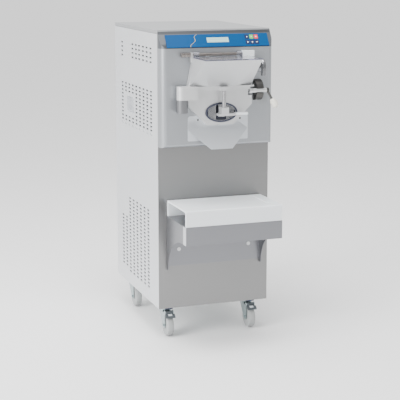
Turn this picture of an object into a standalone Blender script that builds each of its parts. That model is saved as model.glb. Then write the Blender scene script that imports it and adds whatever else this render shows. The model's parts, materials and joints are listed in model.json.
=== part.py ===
"""A floor-standing batch freezer for ice cream: cabinet on casters, hinged hopper door, shelf and drive.

Metres, +Z up, front towards -Y, origin on the floor below the middle of the whole machine.
"""

from math import atan2, cos, pi, radians, sin

import bmesh
import bpy
from mathutils import Matrix, Vector

# ---------------------------------------------------------------- driving dimensions
CABINET_WIDTH = 0.520
CABINET_DEPTH = 0.674
PANEL_HEIGHT = 1.241  # lower edge of the panels to the top of the lid
SHEET = 0.0015
SEAT = 0.0005  # gap between pieces that touch or are fastened together
RUNNING = 0.0007  # radial gap of a pin or shaft in its hole

FASCIA_REACH = 0.050
FASCIA_HEIGHT = 0.506  # lower edge of the fascia to the top of the lid
SLOPE_DROP = 0.078  # lid top to the crease below the control panel
FASCIA_WALL = 0.002
FASCIA_CORNER = 0.028
LID_SKIRT = 0.0155
LID_STEP = 0.004  # top of the fascia below the top of the lid
PANEL_CORNER = 0.020
REAR_INSET = 0.012
GRIP_LOW = (0.363, 0.836)  # from the front panel, and above the lower edge of the panels
GRIP_HIGH = (0.480, 0.910)
GRIP_DEPTH = 0.026
GRIP_CORNER = 0.006
GLAND_RADIUS = 0.012

POST = 0.026
POST_SETBACK = 0.050  # front of the base to the front posts
PLATE = 0.006
DECK_DROP = 0.030  # jacket to the deck below it
RAIL_DROP = 0.075  # lid top to the foot of the top rails
RAIL_HEIGHT = 0.020
WELD = 0.003  # how far joined shapes run into each other
CASTER_PLATE = 0.040  # half of the plate above each caster
DECK_RAIL = 0.020  # height of the rails under each deck
SADDLE_HALF = 0.100
SADDLE_THICK = 0.020
BOX_SPAN = (0.040, 0.160)  # front panel to the front and the back of the control box
BOX_CLEAR = (0.008, 0.030)  # above the jacket, and below the lid's top

KEYPAD_MARGIN = 0.024  # cabinet side to the keypad
KEYPAD_SIDE = 0.004  # keypad centre from the middle of the cabinet
KEYPAD_HEIGHT = 0.0624
KEYPAD_LIFT = 0.004  # from the crease
KEYPAD_THICK = 0.004
SCREEN_SIZE = (0.100, 0.024)
SCREEN_PLACE = (0.0045, 0.0375)  # across, and up the slope
KEY_SIZE = (0.0178, 0.0205)
KEY_PITCH = (0.0213, 0.0266)
KEY_FIRST = (0.1417, 0.0222)
KEY_THICK = 0.0022
KEY_PROUD = 0.0008
KEY_GAP = 0.0006
POCKET_DEPTH = 0.0030

BARREL_DROP = 0.281  # lid top to the barrel's axis
BARREL_RADIUS = 0.115
BARREL_WALL = 0.006
BARREL_LENGTH = 0.340
INSULATION = 0.033  # barrel bore to the outside of its jacket
FLANGE_WIDTH = 0.015
SHAFT_RADIUS = 0.012
BEATER_CLEAR = 0.012  # barrel wall to the beater's bars
BLADE_CLEAR = 0.0015
BAR_DEPTH = 0.012
BAR_HALF = 0.011
BEATER_END = 0.010  # barrel end wall to the beater
HOUSING_RADIUS = 0.045
HOUSING_LENGTH = 0.055
PULLEY_THICK = 0.026
DRIVE_PULLEY_RADIUS = 0.090
MOTOR_PULLEY_RADIUS = 0.036
BELT_THICK = 0.006
BELT_GAP = 0.0015
MOTOR_DROP = 0.330  # barrel axis to motor axis
MOTOR_RADIUS = 0.080
MOTOR_LENGTH = 0.250
MOTOR_FOOT = 0.015  # how far the foot reaches below the motor
MOTOR_GAP = 0.031  # motor to its pulley

COMPRESSOR_RADIUS = 0.105
COMPRESSOR_HEIGHT = 0.222
COMPRESSOR_PLACE = (0.150, 0.170)  # in from the right side, and from the rear
CONDENSER_SIZE = (0.045, 0.360, 0.300)
CONDENSER_PLACE = (0.036, 0.100)  # in from the left side, and from the rear
FAN_GAP = 0.025  # condenser to the middle of the fan
FAN_RISE = 0.005  # fan above the middle of the condenser
FAN_RADIUS = 0.120
FAN_HUB = 0.032
FAN_BACK = 0.019  # middle of the blades to the back of the hub

DOOR_MARGIN = 0.032  # barrel bore to the door's side edge
DOOR_GAP = 0.0025  # pressed front to the back of the door
DOOR_THICK = 0.0275
DOOR_FOOT_MARGIN = 0.013
DOOR_TOP = 0.164  # barrel axis to the top of the door
HOPPER_DEPTH = 0.170  # door's face to the hopper's front edge
HOPPER_FOOT = 0.040  # barrel axis to the foot of the hopper
HOPPER_WALL = 0.005
LEDGE_DEPTH = 0.025
LEDGE_HEIGHT = 0.018
THROAT_WIDTH = 0.100
THROAT_HEIGHT = 0.042
GASKET_WIDTH = 0.008
ARM_HEIGHT = 0.058
HINGE_RADIUS = 0.0248
HINGE_PIN_RADIUS = 0.008
HINGE_OUT = 0.0375  # back of the door to the hinge axis
HINGE_OFFSET = 0.031  # door edge to hinge axis
POST_HEIGHT = 0.056

OUTLET_SIDE = 0.004  # outlet centre from the door's middle
OUTLET_DROP = 0.074  # barrel axis to the outlet's centre
OUTLET_HALF = (0.066, 0.0355)
OUTLET_RIM = 0.0080
RIM_THICK = 0.0045
GATE_OUT = 0.035  # door's face to the guide rod's axis
GATE_TRAVEL = 0.034
GUIDE_RADIUS = 0.0085
BLOCK_HALF = 0.017
LID_ROD_OUT = 0.0135  # back of the door to the lid rod's axis
LID_ROD_RADIUS = 0.0065
LID_ROD_RISE = 0.013  # door top to rod axis
LID_KNUCKLE = 0.012
LID_THICK = 0.004
LID_SET_BACK = 0.0155  # rod axis to the lid's edge beside the rod holder and the ear

LATCH_GAP = 0.018  # door edge to the latch drum
LATCH_WIDTH = 0.033
LATCH_RADIUS = 0.046
LATCH_RISE = 0.016  # barrel axis to latch axis
LATCH_PIN_RADIUS = 0.0100
LATCH_OUT = 0.0355  # pressed front to the latch axis
NOTCH_MARGIN = 0.010  # latch pin to the top and the foot of its notch in the door
LATCH_BITE = 0.014  # how far the pin reaches over the door's edge
TAP_SIDE = 0.042  # door edge to the tap
TAP_RISE = 0.125  # barrel axis to the tap's centre
TAP_RADIUS = 0.030
SPOUT_RADIUS = 0.011

CHUTE_MARGIN = 0.007  # door edge to the edge of the chute
CHUTE_TOP = 0.088  # below the barrel axis
CHUTE_FOLD = 0.150
CHUTE_LIP = 0.230
CHUTE_LIP_HALF = 0.050
CHUTE_LIP_OUT = 0.052  # pressed front to the chute's lip
CHUTE_SHEET = 0.0015

SHELF_REACH = 0.262
SHELF_TOP = 0.496  # above the lower edge of the panels
TRAY_MARGIN = 0.040  # cabinet side to the end of the tray
TRAY_HEIGHT = 0.070
TRAY_WALL = 0.012
TRAY_DECK = 0.008
TRAY_RECESS = 0.0015
BRACKET_MARGIN = 0.002  # how far the bracket reaches past each end of the tray
BRACKET_SHEET = 0.002
APRON_HEIGHT = 0.079
GUSSET_FOOT = 0.180  # above the lower edge of the panels
BACKPLATE_FOOT = 0.195

CASTER_SIDE = 0.062  # cabinet side to caster axis
CASTER_FRONT = 0.098
CASTER_REAR = 0.075
CASTER_TRAIL = 0.036
WHEEL_RADIUS = 0.050
WHEEL_WIDTH = 0.030
AXLE_RADIUS = 0.005
FORK_HEAD = 0.034  # top of the wheel to the plate that the fork turns under
FORK_SHEET = 0.003
FORK_CLEAR = 0.0025
SWIVEL_RADIUS = 0.030
PEDAL_PIN = 0.0025
PEDAL_BARREL = 0.0055
PEDAL_REACH = 0.034
PEDAL_NECK = 0.014  # pivot to the wide part of the pedal
PEDAL_TILT = 38  # degrees below level at rest
BASE_DROP = 0.012  # how far the base reaches below the panels

# ---------------------------------------------------------------- derived places
HALF_WIDTH = CABINET_WIDTH / 2
KEYPAD_WIDTH = CABINET_WIDTH - 2 * KEYPAD_MARGIN
TRAY_HALF = HALF_WIDTH - TRAY_MARGIN
BRACKET_HALF = TRAY_HALF + BRACKET_MARGIN
JACKET_RADIUS = BARREL_RADIUS + INSULATION
FRONT = -(CABINET_DEPTH - SHELF_REACH) / 2
REAR = FRONT + CABINET_DEPTH
SILL = 2 * WHEEL_RADIUS + FORK_HEAD + BASE_DROP
TOP = SILL + PANEL_HEIGHT
FASCIA_FRONT = FRONT - FASCIA_REACH
DOOR_BACK = FASCIA_REACH + DOOR_GAP
DOOR_FRONT = DOOR_BACK + DOOR_THICK
HOPPER_REACH = DOOR_FRONT + HOPPER_DEPTH
LEDGE_REACH = DOOR_FRONT + LEDGE_DEPTH
FASCIA_FOOT = TOP - FASCIA_HEIGHT
CREASE = TOP - SLOPE_DROP
FASCIA_TOP = TOP - LID_STEP
AXIS_Z = TOP - BARREL_DROP
DOOR_HALF = BARREL_RADIUS + DOOR_MARGIN
CHUTE_HALF = DOOR_HALF - CHUTE_MARGIN
DOOR_FOOT = AXIS_Z - BARREL_RADIUS - DOOR_FOOT_MARGIN
DOOR_HEAD = AXIS_Z + DOOR_TOP
HINGE_X = -DOOR_HALF - HINGE_OFFSET
HINGE_Y = FRONT - DOOR_BACK - HINGE_OUT
LEDGE_TOP = AXIS_Z + HOPPER_FOOT + 0.003
LEDGE_FOOT = LEDGE_TOP - LEDGE_HEIGHT
OUTLET_Z = AXIS_Z - OUTLET_DROP
GATE_Y = FRONT - DOOR_FRONT - GATE_OUT
LID_AXIS = (0.0, FRONT - DOOR_BACK - LID_ROD_OUT, DOOR_HEAD + LID_ROD_RISE)
LID_HALF = DOOR_HALF - 0.020
LATCH_X = DOOR_HALF + LATCH_GAP
LATCH_Y = FASCIA_FRONT - LATCH_OUT
LATCH_Z = AXIS_Z + LATCH_RISE
TAP_X = DOOR_HALF + TAP_SIDE
TAP_Z = AXIS_Z + TAP_RISE
BARREL_FRONT = FASCIA_FRONT + 0.003
BARREL_REAR = BARREL_FRONT + BARREL_LENGTH
HOUSING_REAR = BARREL_REAR + SEAT + HOUSING_LENGTH
PULLEY_FRONT = HOUSING_REAR + 0.006
MOTOR_Z = AXIS_Z - MOTOR_DROP
MOTOR_NOSE = PULLEY_FRONT - MOTOR_GAP
MOTOR_TAIL = MOTOR_NOSE - MOTOR_LENGTH
MOTOR_DECK = MOTOR_Z - MOTOR_RADIUS - MOTOR_FOOT - SEAT - PLATE
SADDLE_FRONT = BARREL_REAR - 0.130
FLOOR_PLATE = SILL + 0.004
GLAND_PLACE = (HALF_WIDTH - 0.090, 0.0, SILL + 0.100)


# ---------------------------------------------------------------- materials
def finish(name, colour, roughness, metallic=0.0):
    material = bpy.data.materials.new(name)
    material.use_nodes = True
    shader = material.node_tree.nodes["Principled BSDF"]
    shader.inputs["Base Color"].default_value = (*colour, 1.0)
    shader.inputs["Roughness"].default_value = roughness
    shader.inputs["Metallic"].default_value = metallic
    material.diffuse_color = (*colour, 1.0)
    return material


STEEL = (0.52, 0.53, 0.55)
WHITE = (0.80, 0.82, 0.84)
DARK = (0.05, 0.05, 0.055)


# ---------------------------------------------------------------- shapes: (points, faces)
def block(low, high):
    xs, ys, zs = zip(low, high)
    points = [(x, y, z) for x in xs for y in ys for z in zs]
    faces = [(0, 1, 3, 2), (4, 6, 7, 5), (0, 4, 5, 1), (2, 3, 7, 6), (0, 2, 6, 4), (1, 5, 7, 3)]
    return points, faces


def centred_block(centre, size):
    half = [s / 2 for s in size]
    return block([c - h for c, h in zip(centre, half)], [c + h for c, h in zip(centre, half)])


def prism(outline, axis, start, end):
    """An outline in the plane across an axis (0, 1 or 2), extruded from start to end along it."""
    def at(point, along):
        full = list(point)
        full.insert(axis, along)
        return tuple(full)

    count = len(outline)
    points = [at(p, start) for p in outline] + [at(p, end) for p in outline]
    sides = [(i, (i + 1) % count, count + (i + 1) % count, count + i) for i in range(count)]
    return points, sides + [tuple(range(count)), tuple(range(count, 2 * count))]


def turned(profile, centre, axis, segments=32):
    """A closed profile of (radius, along) points turned about an axis through a centre."""
    across = [i for i in range(3) if i != axis]
    points, rings = [], []
    for radius, along in profile:
        ring = []
        for step in range(segments if radius > 0 else 1):
            angle = 2 * pi * step / segments
            full = list(centre)
            full[across[0]] += radius * cos(angle)
            full[across[1]] += radius * sin(angle)
            full[axis] += along
            ring.append(len(points))
            points.append(tuple(full))
        rings.append(ring)
    faces = []
    for ring, other in zip(rings, rings[1:] + rings[:1]):
        for step in range(segments):
            after = (step + 1) % segments
            corners = [ring[step % len(ring)], ring[after % len(ring)]]
            corners += [other[after % len(other)], other[step % len(other)]]
            corners = list(dict.fromkeys(corners))
            if len(corners) > 2:
                faces.append(tuple(corners))
    return points, faces


def rod(centre, axis, start, end, radius, segments=24):
    """A round bar between two coordinates along an axis."""
    middle = list(centre)
    middle[axis] = 0
    profile = [(0, start), (radius, start), (radius, end), (0, end)]
    return turned(profile, middle, axis, segments)


def ring(centre, axis, start, end, inner, outer, segments=32):
    middle = list(centre)
    middle[axis] = 0
    profile = [(inner, start), (outer, start), (outer, end), (inner, end)]
    return turned(profile, middle, axis, segments)


def swept(path, radius, sides=16):
    """A round bar along a path of points."""
    path = [Vector(p) for p in path]
    points, faces, across = [], [], None
    for i, here in enumerate(path):
        ahead = (path[min(i + 1, len(path) - 1)] - path[max(i - 1, 0)]).normalized()
        if across is None:
            across = ahead.orthogonal().normalized()
        across = (across - ahead * across.dot(ahead)).normalized()
        other = ahead.cross(across)
        for step in range(sides):
            angle = 2 * pi * step / sides
            points.append(tuple(here + radius * (cos(angle) * across + sin(angle) * other)))
    for i in range(len(path) - 1):
        for step in range(sides):
            after = (step + 1) % sides
            low, high = i * sides, (i + 1) * sides
            faces.append((low + step, low + after, high + after, high + step))
    last = (len(path) - 1) * sides
    return points, faces + [tuple(range(sides)), tuple(range(last, last + sides))]


def smooth_path(points, steps):
    """Points along a smooth curve through the given ones."""
    path = []
    ends = [points[0]] + list(points) + [points[-1]]
    for a, b, c, d in zip(ends, ends[1:], ends[2:], ends[3:]):
        for step in range(steps):
            t = step / steps
            path.append(0.5 * (2 * b + (c - a) * t + (2 * a - 5 * b + 4 * c - d) * t ** 2
                               + (3 * b - a - 3 * c + d) * t ** 3))
    return path + [points[-1]]


def hull(points):
    """The convex solid around a few corner points."""
    mesh = bmesh.new()
    for point in points:
        mesh.verts.new(point)
    bmesh.ops.convex_hull(mesh, input=mesh.verts)
    mesh.verts.index_update()
    shape = [tuple(v.co) for v in mesh.verts], [tuple(v.index for v in f.verts) for f in mesh.faces]
    mesh.free()
    return shape


def placed(shape, matrix):
    points, faces = shape
    return [tuple(matrix @ Vector(p)) for p in points], faces


def rounded(corners, radii, steps=5):
    """A polygon whose corners are arcs; radii gives each corner's radius, 0 for a sharp one."""
    outline = []
    for i, (corner, radius) in enumerate(zip(corners, radii)):
        here = Vector(corner)
        if radius <= 0:
            outline.append(tuple(here))
            continue
        before = (Vector(corners[i - 1]) - here).normalized()
        after = (Vector(corners[(i + 1) % len(corners)]) - here).normalized()
        half = before.angle(after) / 2
        centre = here + (before + after).normalized() * radius / sin(half)
        reach = radius * cos(half) / sin(half)
        first = here + before * reach - centre
        second = here + after * reach - centre
        turn = atan2(first.x * second.y - first.y * second.x, first.dot(second))
        for step in range(steps + 1):
            angle = turn * step / steps
            x = first.x * cos(angle) - first.y * sin(angle)
            y = first.x * sin(angle) + first.y * cos(angle)
            outline.append((centre.x + x, centre.y + y))
    return outline


def ellipse(centre, half, segments=40):
    angles = [2 * pi * step / segments for step in range(segments)]
    return [(centre[0] + half[0] * cos(a), centre[1] + half[1] * sin(a)) for a in angles]


# ---------------------------------------------------------------- objects
def mesh_object(name, shape, origin=(0, 0, 0)):
    points, faces = shape
    mesh = bmesh.new()
    verts = [mesh.verts.new(Vector(p) - Vector(origin)) for p in points]
    for face in faces:
        mesh.faces.new([verts[i] for i in face])
    bmesh.ops.remove_doubles(mesh, verts=mesh.verts, dist=1e-6)
    bmesh.ops.recalc_face_normals(mesh, faces=mesh.faces)
    data = bpy.data.meshes.new(name)
    mesh.to_mesh(data)
    mesh.free()
    made = bpy.data.objects.new(name, data)
    made.location = origin
    bpy.context.scene.collection.objects.link(made)
    return made


def combine(target, shape, operation):
    """Adds, cuts or keeps a shape on a target, through a hidden helper object."""
    helper = mesh_object(f"{target.name}_{operation.lower()}", shape)
    helper.hide_render = True
    helper.display_type = "WIRE"
    change = target.modifiers.new(operation.title(), "BOOLEAN")
    change.operation = operation
    change.solver = "EXACT"
    change.object = helper
    return helper


def piece(name, material, shape, add=(), cut=(), keep=(), origin=(0, 0, 0), smooth=True):
    made = mesh_object(name, shape, origin)
    for operation, others in (("UNION", add), ("INTERSECT", keep), ("DIFFERENCE", cut)):
        for other in others:
            combine(made, other, operation)
    made.data.materials.append(material)
    if smooth:
        made.data.shade_smooth()
        made.data.set_sharp_from_angle(angle=radians(30))
    return made


for old in list(bpy.data.objects):
    bpy.data.objects.remove(old)

steel = finish("brushed_steel", STEEL, 0.38, 1.0)
bright = finish("bright_steel", (0.62, 0.63, 0.65), 0.22, 1.0)
dark_steel = finish("dark_steel", (0.16, 0.16, 0.17), 0.42, 1.0)
white_plastic = finish("white_plastic", WHITE, 0.45)
dark_rubber = finish("dark_rubber", DARK, 0.7)
grey_rubber = finish("grey_rubber", (0.36, 0.37, 0.38), 0.65)
zinc = finish("zinc_plate", (0.42, 0.47, 0.47), 0.4, 1.0)
blue_film = finish("blue_film", (0.0, 0.19, 0.40), 0.4)
key_blue = finish("key_blue", (0.01, 0.07, 0.22), 0.45)
key_green = finish("key_green", (0.02, 0.30, 0.10), 0.45)
key_red = finish("key_red", (0.42, 0.03, 0.05), 0.45)
screen_glass = finish("screen_glass", (0.45, 0.55, 0.45), 0.2)
clear_plastic = finish("clear_plastic", (0.72, 0.74, 0.82), 0.1)
cast_iron = finish("painted_iron", (0.08, 0.09, 0.10), 0.55)


# ---------------------------------------------------------------- cabinet
def make_chassis():
    """Base plate, posts, top rails and two decks on side rails, for the barrel's saddles and the motor."""
    inset = SHEET + SEAT
    x, y0, y1 = HALF_WIDTH - inset, FRONT + inset, REAR - REAR_INSET - inset
    deck_z, rail_z = AXIS_Z - JACKET_RADIUS - DECK_DROP, TOP - RAIL_DROP
    base = block((-x, y0, FLOOR_PLATE), (x, y1, FLOOR_PLATE + PLATE))
    add = []
    for side in (-1, 1):
        xs = sorted((side * x, side * (x - POST)))
        for y in (y0 + POST_SETBACK, y1 - POST):
            add.append(block((xs[0], y, FLOOR_PLATE + WELD), (xs[1], y + POST, rail_z)))
        rail_low = (xs[0], y0 + POST_SETBACK, rail_z - WELD)
        add.append(block(rail_low, (xs[1], y1, rail_z + RAIL_HEIGHT)))
    decks = [(deck_z, SADDLE_FRONT - 0.010, PULLEY_FRONT - 0.020),
             (MOTOR_DECK, MOTOR_TAIL, PULLEY_FRONT - 0.060)]
    for height, start, end in decks:
        add.append(block((-x, start, height), (x, end, height + PLATE)))
        for side in (-1, 1):
            xs = sorted((side * x, side * (x - POST)))
            low = (xs[0], y0 + POST_SETBACK + 0.002, height - DECK_RAIL)
            add.append(block(low, (xs[1], y1 - 0.002, height + WELD)))
    jacket = rod((0, 0, AXIS_Z), 1, FRONT, REAR, JACKET_RADIUS + SEAT, 40)
    for start in (SADDLE_FRONT, BARREL_REAR - 0.030):
        low = (-SADDLE_HALF, start, deck_z + PLATE - WELD)
        add.append(block(low, (SADDLE_HALF, start + SADDLE_THICK, AXIS_Z - JACKET_RADIUS * 0.8)))
    for swivel in caster_places():
        low = (swivel[0] - CASTER_PLATE, swivel[1] - CASTER_PLATE, SILL - BASE_DROP)
        add.append(block(low, (swivel[0] + CASTER_PLATE, swivel[1] + CASTER_PLATE, FLOOR_PLATE + WELD)))
    piece("chassis_frame", dark_steel, base, add=add, cut=[jacket], smooth=False)


def caster_places():
    """(x, y) of the four swivel axes, front pair first."""
    x = HALF_WIDTH - CASTER_SIDE
    return [(s * x, y) for y in (FRONT + CASTER_FRONT, REAR - CASTER_REAR) for s in (-1, 1)]


def make_side_panel(name, side):
    """A plain sheet with a recessed finger grip, its lower rear corner rounded."""
    top = TOP - LID_SKIRT - 0.001
    corners = [(FRONT + SHEET + SEAT, SILL), (REAR, SILL), (REAR, top), (FRONT + SHEET + SEAT, top)]
    outline = rounded(corners, (0, PANEL_CORNER, 0, 0))
    outer, inner = side * HALF_WIDTH, side * (HALF_WIDTH - SHEET)
    sheet = prism(outline, 0, outer, inner)
    low = (FRONT + GRIP_LOW[0], SILL + GRIP_LOW[1])
    high = (FRONT + GRIP_HIGH[0], SILL + GRIP_HIGH[1])
    mouth = prism(rounded_box(low, high, GRIP_CORNER), 0, outer + side * 0.002, inner - side * 0.001)
    wall_low, wall_high = [v - SHEET for v in low], [v + SHEET for v in high]
    bottom = side * (HALF_WIDTH - GRIP_DEPTH)
    cup = prism(rounded_box(wall_low, wall_high, GRIP_CORNER + SHEET), 0, inner + side * 0.0005, bottom)
    room = prism(rounded_box(low, high, GRIP_CORNER), 0, outer + side * 0.002, bottom + side * SHEET)
    made = piece(name, steel, sheet, smooth=False)
    combine(made, mouth, "DIFFERENCE")
    combine(made, cup, "UNION")
    combine(made, room, "DIFFERENCE")


def rounded_box(low, high, radius, steps=3):
    corners = [(low[0], low[1]), (high[0], low[1]), (high[0], high[1]), (low[0], high[1])]
    return rounded(corners, [radius] * 4, steps)


def make_rear_panel():
    """A sheet set in between the side panels, with a hole for the power gland."""
    inset = SHEET + SEAT
    low = (-HALF_WIDTH + inset, REAR - REAR_INSET - SHEET, SILL + PANEL_CORNER)
    high = (HALF_WIDTH - inset, REAR - REAR_INSET, TOP - LID_SKIRT - 0.001)
    hole = rod(GLAND_PLACE, 1, REAR - 0.05, REAR, GLAND_RADIUS + SEAT, 20)
    piece("rear_panel", steel, block(low, high), cut=[hole], smooth=False)


def make_front_panel():
    """The lower front sheet, which runs up behind the fascia's lower edge."""
    head = FASCIA_FOOT + 0.030
    sheet = block((-HALF_WIDTH, FRONT, SILL), (HALF_WIDTH, FRONT + SHEET, head))
    wings = []
    for side in (-1, 1):
        xs = sorted((side * (HALF_WIDTH - FASCIA_CORNER), side * (HALF_WIDTH + 0.01)))
        wings.append(block((xs[0], FRONT - 0.01, FASCIA_FOOT - SEAT), (xs[1], FRONT + 0.01, head + 0.01)))
    piece("front_panel", steel, sheet, cut=wings, smooth=False)


def fascia_form(wall):
    """The pressed front as a closed form: a plan with round corners, and a profile with the slope."""
    x, front = HALF_WIDTH - wall, FASCIA_FRONT + wall
    back = FRONT - SEAT + (0.03 if wall else 0)
    plan = rounded([(-x, front), (x, front), (x, back), (-x, back)],
                   (FASCIA_CORNER - wall, FASCIA_CORNER - wall, 0, 0), 6)
    foot, head = FASCIA_FOOT + wall, FASCIA_TOP - wall * 1.6
    slope = (FRONT - SEAT - FASCIA_FRONT) / (FASCIA_TOP - CREASE)
    crease = CREASE - wall * 0.6
    top_front = front + (head - crease) * slope
    side = [(front, foot), (back, foot), (back, head), (top_front, head), (front, crease)]
    if back < top_front:
        side = [(front, foot), (back, foot), (back, head), (front, crease)]
    lower = rounded(side, [0.014 - wall] + [0] * (len(side) - 1), 4)
    return prism(plan, 2, foot - 0.01, head + 0.01), prism(lower, 0, -x - 0.01, x + 0.01)


def make_fascia():
    plan, side = fascia_form(0.0)
    fascia = piece("fascia", steel, plan, keep=[side])
    inner_plan, inner_side = fascia_form(FASCIA_WALL)
    helper = combine(fascia, inner_plan, "DIFFERENCE")
    combine(helper, inner_side, "INTERSECT")
    radius = BARREL_RADIUS + FLANGE_WIDTH + SEAT * 2
    opening = rod((0, 0, AXIS_Z), 1, FASCIA_FRONT - 0.01, FRONT + 0.01, radius, 40)
    combine(fascia, opening, "DIFFERENCE")


def make_top_cover():
    low = (-HALF_WIDTH, FRONT, TOP - LID_SKIRT)
    shell = block(low, (HALF_WIDTH, REAR, TOP))
    inside = block((-HALF_WIDTH + 0.002, FRONT + 0.002, low[2] - 0.01),
                   (HALF_WIDTH - 0.002, REAR - 0.002, TOP - 0.002))
    piece("top_cover", steel, shell, cut=[inside], smooth=False)


# ---------------------------------------------------------------- control panel
SLOPE_RUN = FRONT - SEAT - FASCIA_FRONT
SLOPE_RISE = FASCIA_TOP - CREASE
SLOPE_ANGLE = atan2(SLOPE_RISE, SLOPE_RUN)
ON_SLOPE = Matrix.Translation((0, FASCIA_FRONT, CREASE)) @ Matrix.Rotation(SLOPE_ANGLE, 4, "X")


def plate_on_slope(centre, size, low, high, radius=0.0015):
    """A plate lying on the sloped face: centre and size in the face, low and high above it."""
    half = (size[0] / 2, size[1] / 2)
    corners = rounded_box((centre[0] - half[0], centre[1] - half[1]),
                          (centre[0] + half[0], centre[1] + half[1]), radius, 2)
    return placed(prism(corners, 2, low, high), ON_SLOPE)


def key_centres():
    """Centres of the six keys in the sloped face, upper row first."""
    rows = (KEY_FIRST[1] + KEY_PITCH[1], KEY_FIRST[1])
    return [(KEY_FIRST[0] + i * KEY_PITCH[0], row) for row in rows for i in range(3)]


def make_control_panel():
    middle = KEYPAD_LIFT + KEYPAD_HEIGHT / 2
    surface = SEAT + KEYPAD_THICK
    board = plate_on_slope((KEYPAD_SIDE, middle), (KEYPAD_WIDTH, KEYPAD_HEIGHT), SEAT, surface)
    pockets = []
    for centre in key_centres():
        size = [s + 2 * KEY_GAP for s in KEY_SIZE]
        pockets.append(plate_on_slope(centre, size, surface - POCKET_DEPTH, surface + 0.01))
    size = [s + 2 * KEY_GAP for s in SCREEN_SIZE]
    pockets.append(plate_on_slope(SCREEN_PLACE, size, surface - 0.0016, surface + 0.01))
    piece("control_panel", blue_film, board, cut=pockets, smooth=False)
    glass = plate_on_slope(SCREEN_PLACE, SCREEN_SIZE, surface - 0.0013, surface - 0.0003)
    piece("display_window", screen_glass, glass, smooth=False)
    names = ("key_up", "key_start", "key_stop", "key_cool", "key_beat", "key_menu")
    colours = (key_blue, key_green, key_red, key_blue, key_blue, key_blue)
    for name, colour, centre in zip(names, colours, key_centres()):
        top = surface + KEY_PROUD
        shape = plate_on_slope(centre, KEY_SIZE, top - KEY_THICK, top)
        place = ON_SLOPE @ Vector((*centre, top))
        piece(name, colour, shape, origin=place, smooth=False)


def make_control_box():
    x = HALF_WIDTH - SHEET - POST - 2 * SEAT
    low = (-x, FRONT + BOX_SPAN[0], AXIS_Z + JACKET_RADIUS + BOX_CLEAR[0])
    high = (x, FRONT + BOX_SPAN[1], TOP - BOX_CLEAR[1])
    piece("control_box", dark_steel, block(low, high), smooth=False)


# ---------------------------------------------------------------- freezing barrel and drive
def make_barrel():
    """A cup on its side: flange, bore, insulated jacket and a closed rear with a shaft hole."""
    flange, jacket = BARREL_RADIUS + FLANGE_WIDTH, JACKET_RADIUS
    start, end = BARREL_FRONT, BARREL_REAR
    step = FRONT + 0.012
    hole = SHAFT_RADIUS + RUNNING
    profile = [(BARREL_RADIUS, start), (flange, start), (flange, step), (jacket, step),
               (jacket, end), (hole, end), (hole, end - BARREL_WALL), (BARREL_RADIUS, end - BARREL_WALL)]
    piece("freezing_barrel", steel, turned(profile, (0, 0, AXIS_Z), 1, 40))


def make_bearing_housing():
    start, end, hole = BARREL_REAR + SEAT, HOUSING_REAR, SHAFT_RADIUS + RUNNING
    profile = [(hole, start), (HOUSING_RADIUS * 1.5, start), (HOUSING_RADIUS * 1.5, start + 0.010),
               (HOUSING_RADIUS, start + 0.010), (HOUSING_RADIUS * 0.9, end), (hole, end)]
    piece("bearing_housing", cast_iron, turned(profile, (0, 0, AXIS_Z), 1))


def make_beater():
    """Shaft, rear arms, three long bars and a front ring, with a scraper blade on two of the bars."""
    bar_out = BARREL_RADIUS - BEATER_CLEAR
    bar_in = bar_out - BAR_DEPTH
    front, back = BARREL_FRONT + 0.012, BARREL_REAR - BARREL_WALL - BEATER_END
    hub, end = SHAFT_RADIUS * 2, PULLEY_FRONT + PULLEY_THICK + 0.004
    profile = [(0, back - 0.030), (hub, back - 0.030), (hub, back), (SHAFT_RADIUS, back),
               (SHAFT_RADIUS, end), (0, end)]
    shaft = turned(profile, (0, 0, AXIS_Z), 1, 24)
    add = [ring((0, 0, AXIS_Z), 1, front, front + 0.010, bar_in, bar_out)]
    spin = Matrix.Translation((0, 0, AXIS_Z))
    for i in range(3):
        turn = spin @ Matrix.Rotation(radians(90 + 120 * i), 4, "Y")
        bar = block((bar_in + 0.002, front + 0.002, -BAR_HALF), (bar_out - 0.002, back - 0.006, BAR_HALF))
        arm = block((SHAFT_RADIUS * 1.3, back - 0.018, -0.008), (bar_out - 0.004, back - 0.004, 0.008))
        add += [placed(bar, turn), placed(arm, turn)]
        if i < 2:
            low = (bar_out + SEAT, front + 0.014, -0.004)
            blade = block(low, (BARREL_RADIUS - BLADE_CLEAR, back - 0.012, 0.003))
            piece(f"scraper_blade_{'ab'[i]}", white_plastic, placed(blade, turn),
                  origin=(0, back, AXIS_Z), smooth=False)
    piece("beater_frame", bright, shaft, add=add, origin=(0, back, AXIS_Z))


def make_pulley(name, radius, z, hole, tail=0.0):
    start, end = PULLEY_FRONT, PULLEY_FRONT + PULLEY_THICK
    rim = [(hole, start), (radius + 0.006, start), (radius + 0.006, start + 0.003),
           (radius, start + 0.004), (radius, end - 0.004), (radius + 0.006, end - 0.003),
           (radius + 0.006, end), (hole, end)]
    if tail:
        rim = [(0, start - tail), (hole, start - tail), (hole, start)] + rim[1:-1] + [(0, end)]
    piece(name, cast_iron, turned(rim, (0, 0, z), 1, 28), origin=(0, start, z))


def belt_outline(grow, segments=14):
    """Tangent outline round both pulleys, in x and z."""
    big, small = DRIVE_PULLEY_RADIUS + grow, MOTOR_PULLEY_RADIUS + grow
    lean = (big - small) / MOTOR_DROP
    cut = atan2(lean, (1 - lean * lean) ** 0.5)
    outline = []
    for step in range(segments + 1):
        angle = -cut + (pi + 2 * cut) * step / segments
        outline.append((big * cos(angle), AXIS_Z + big * sin(angle)))
    for step in range(segments + 1):
        angle = pi + cut + (pi - 2 * cut) * step / segments
        outline.append((small * cos(angle), MOTOR_Z + small * sin(angle)))
    return outline


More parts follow.
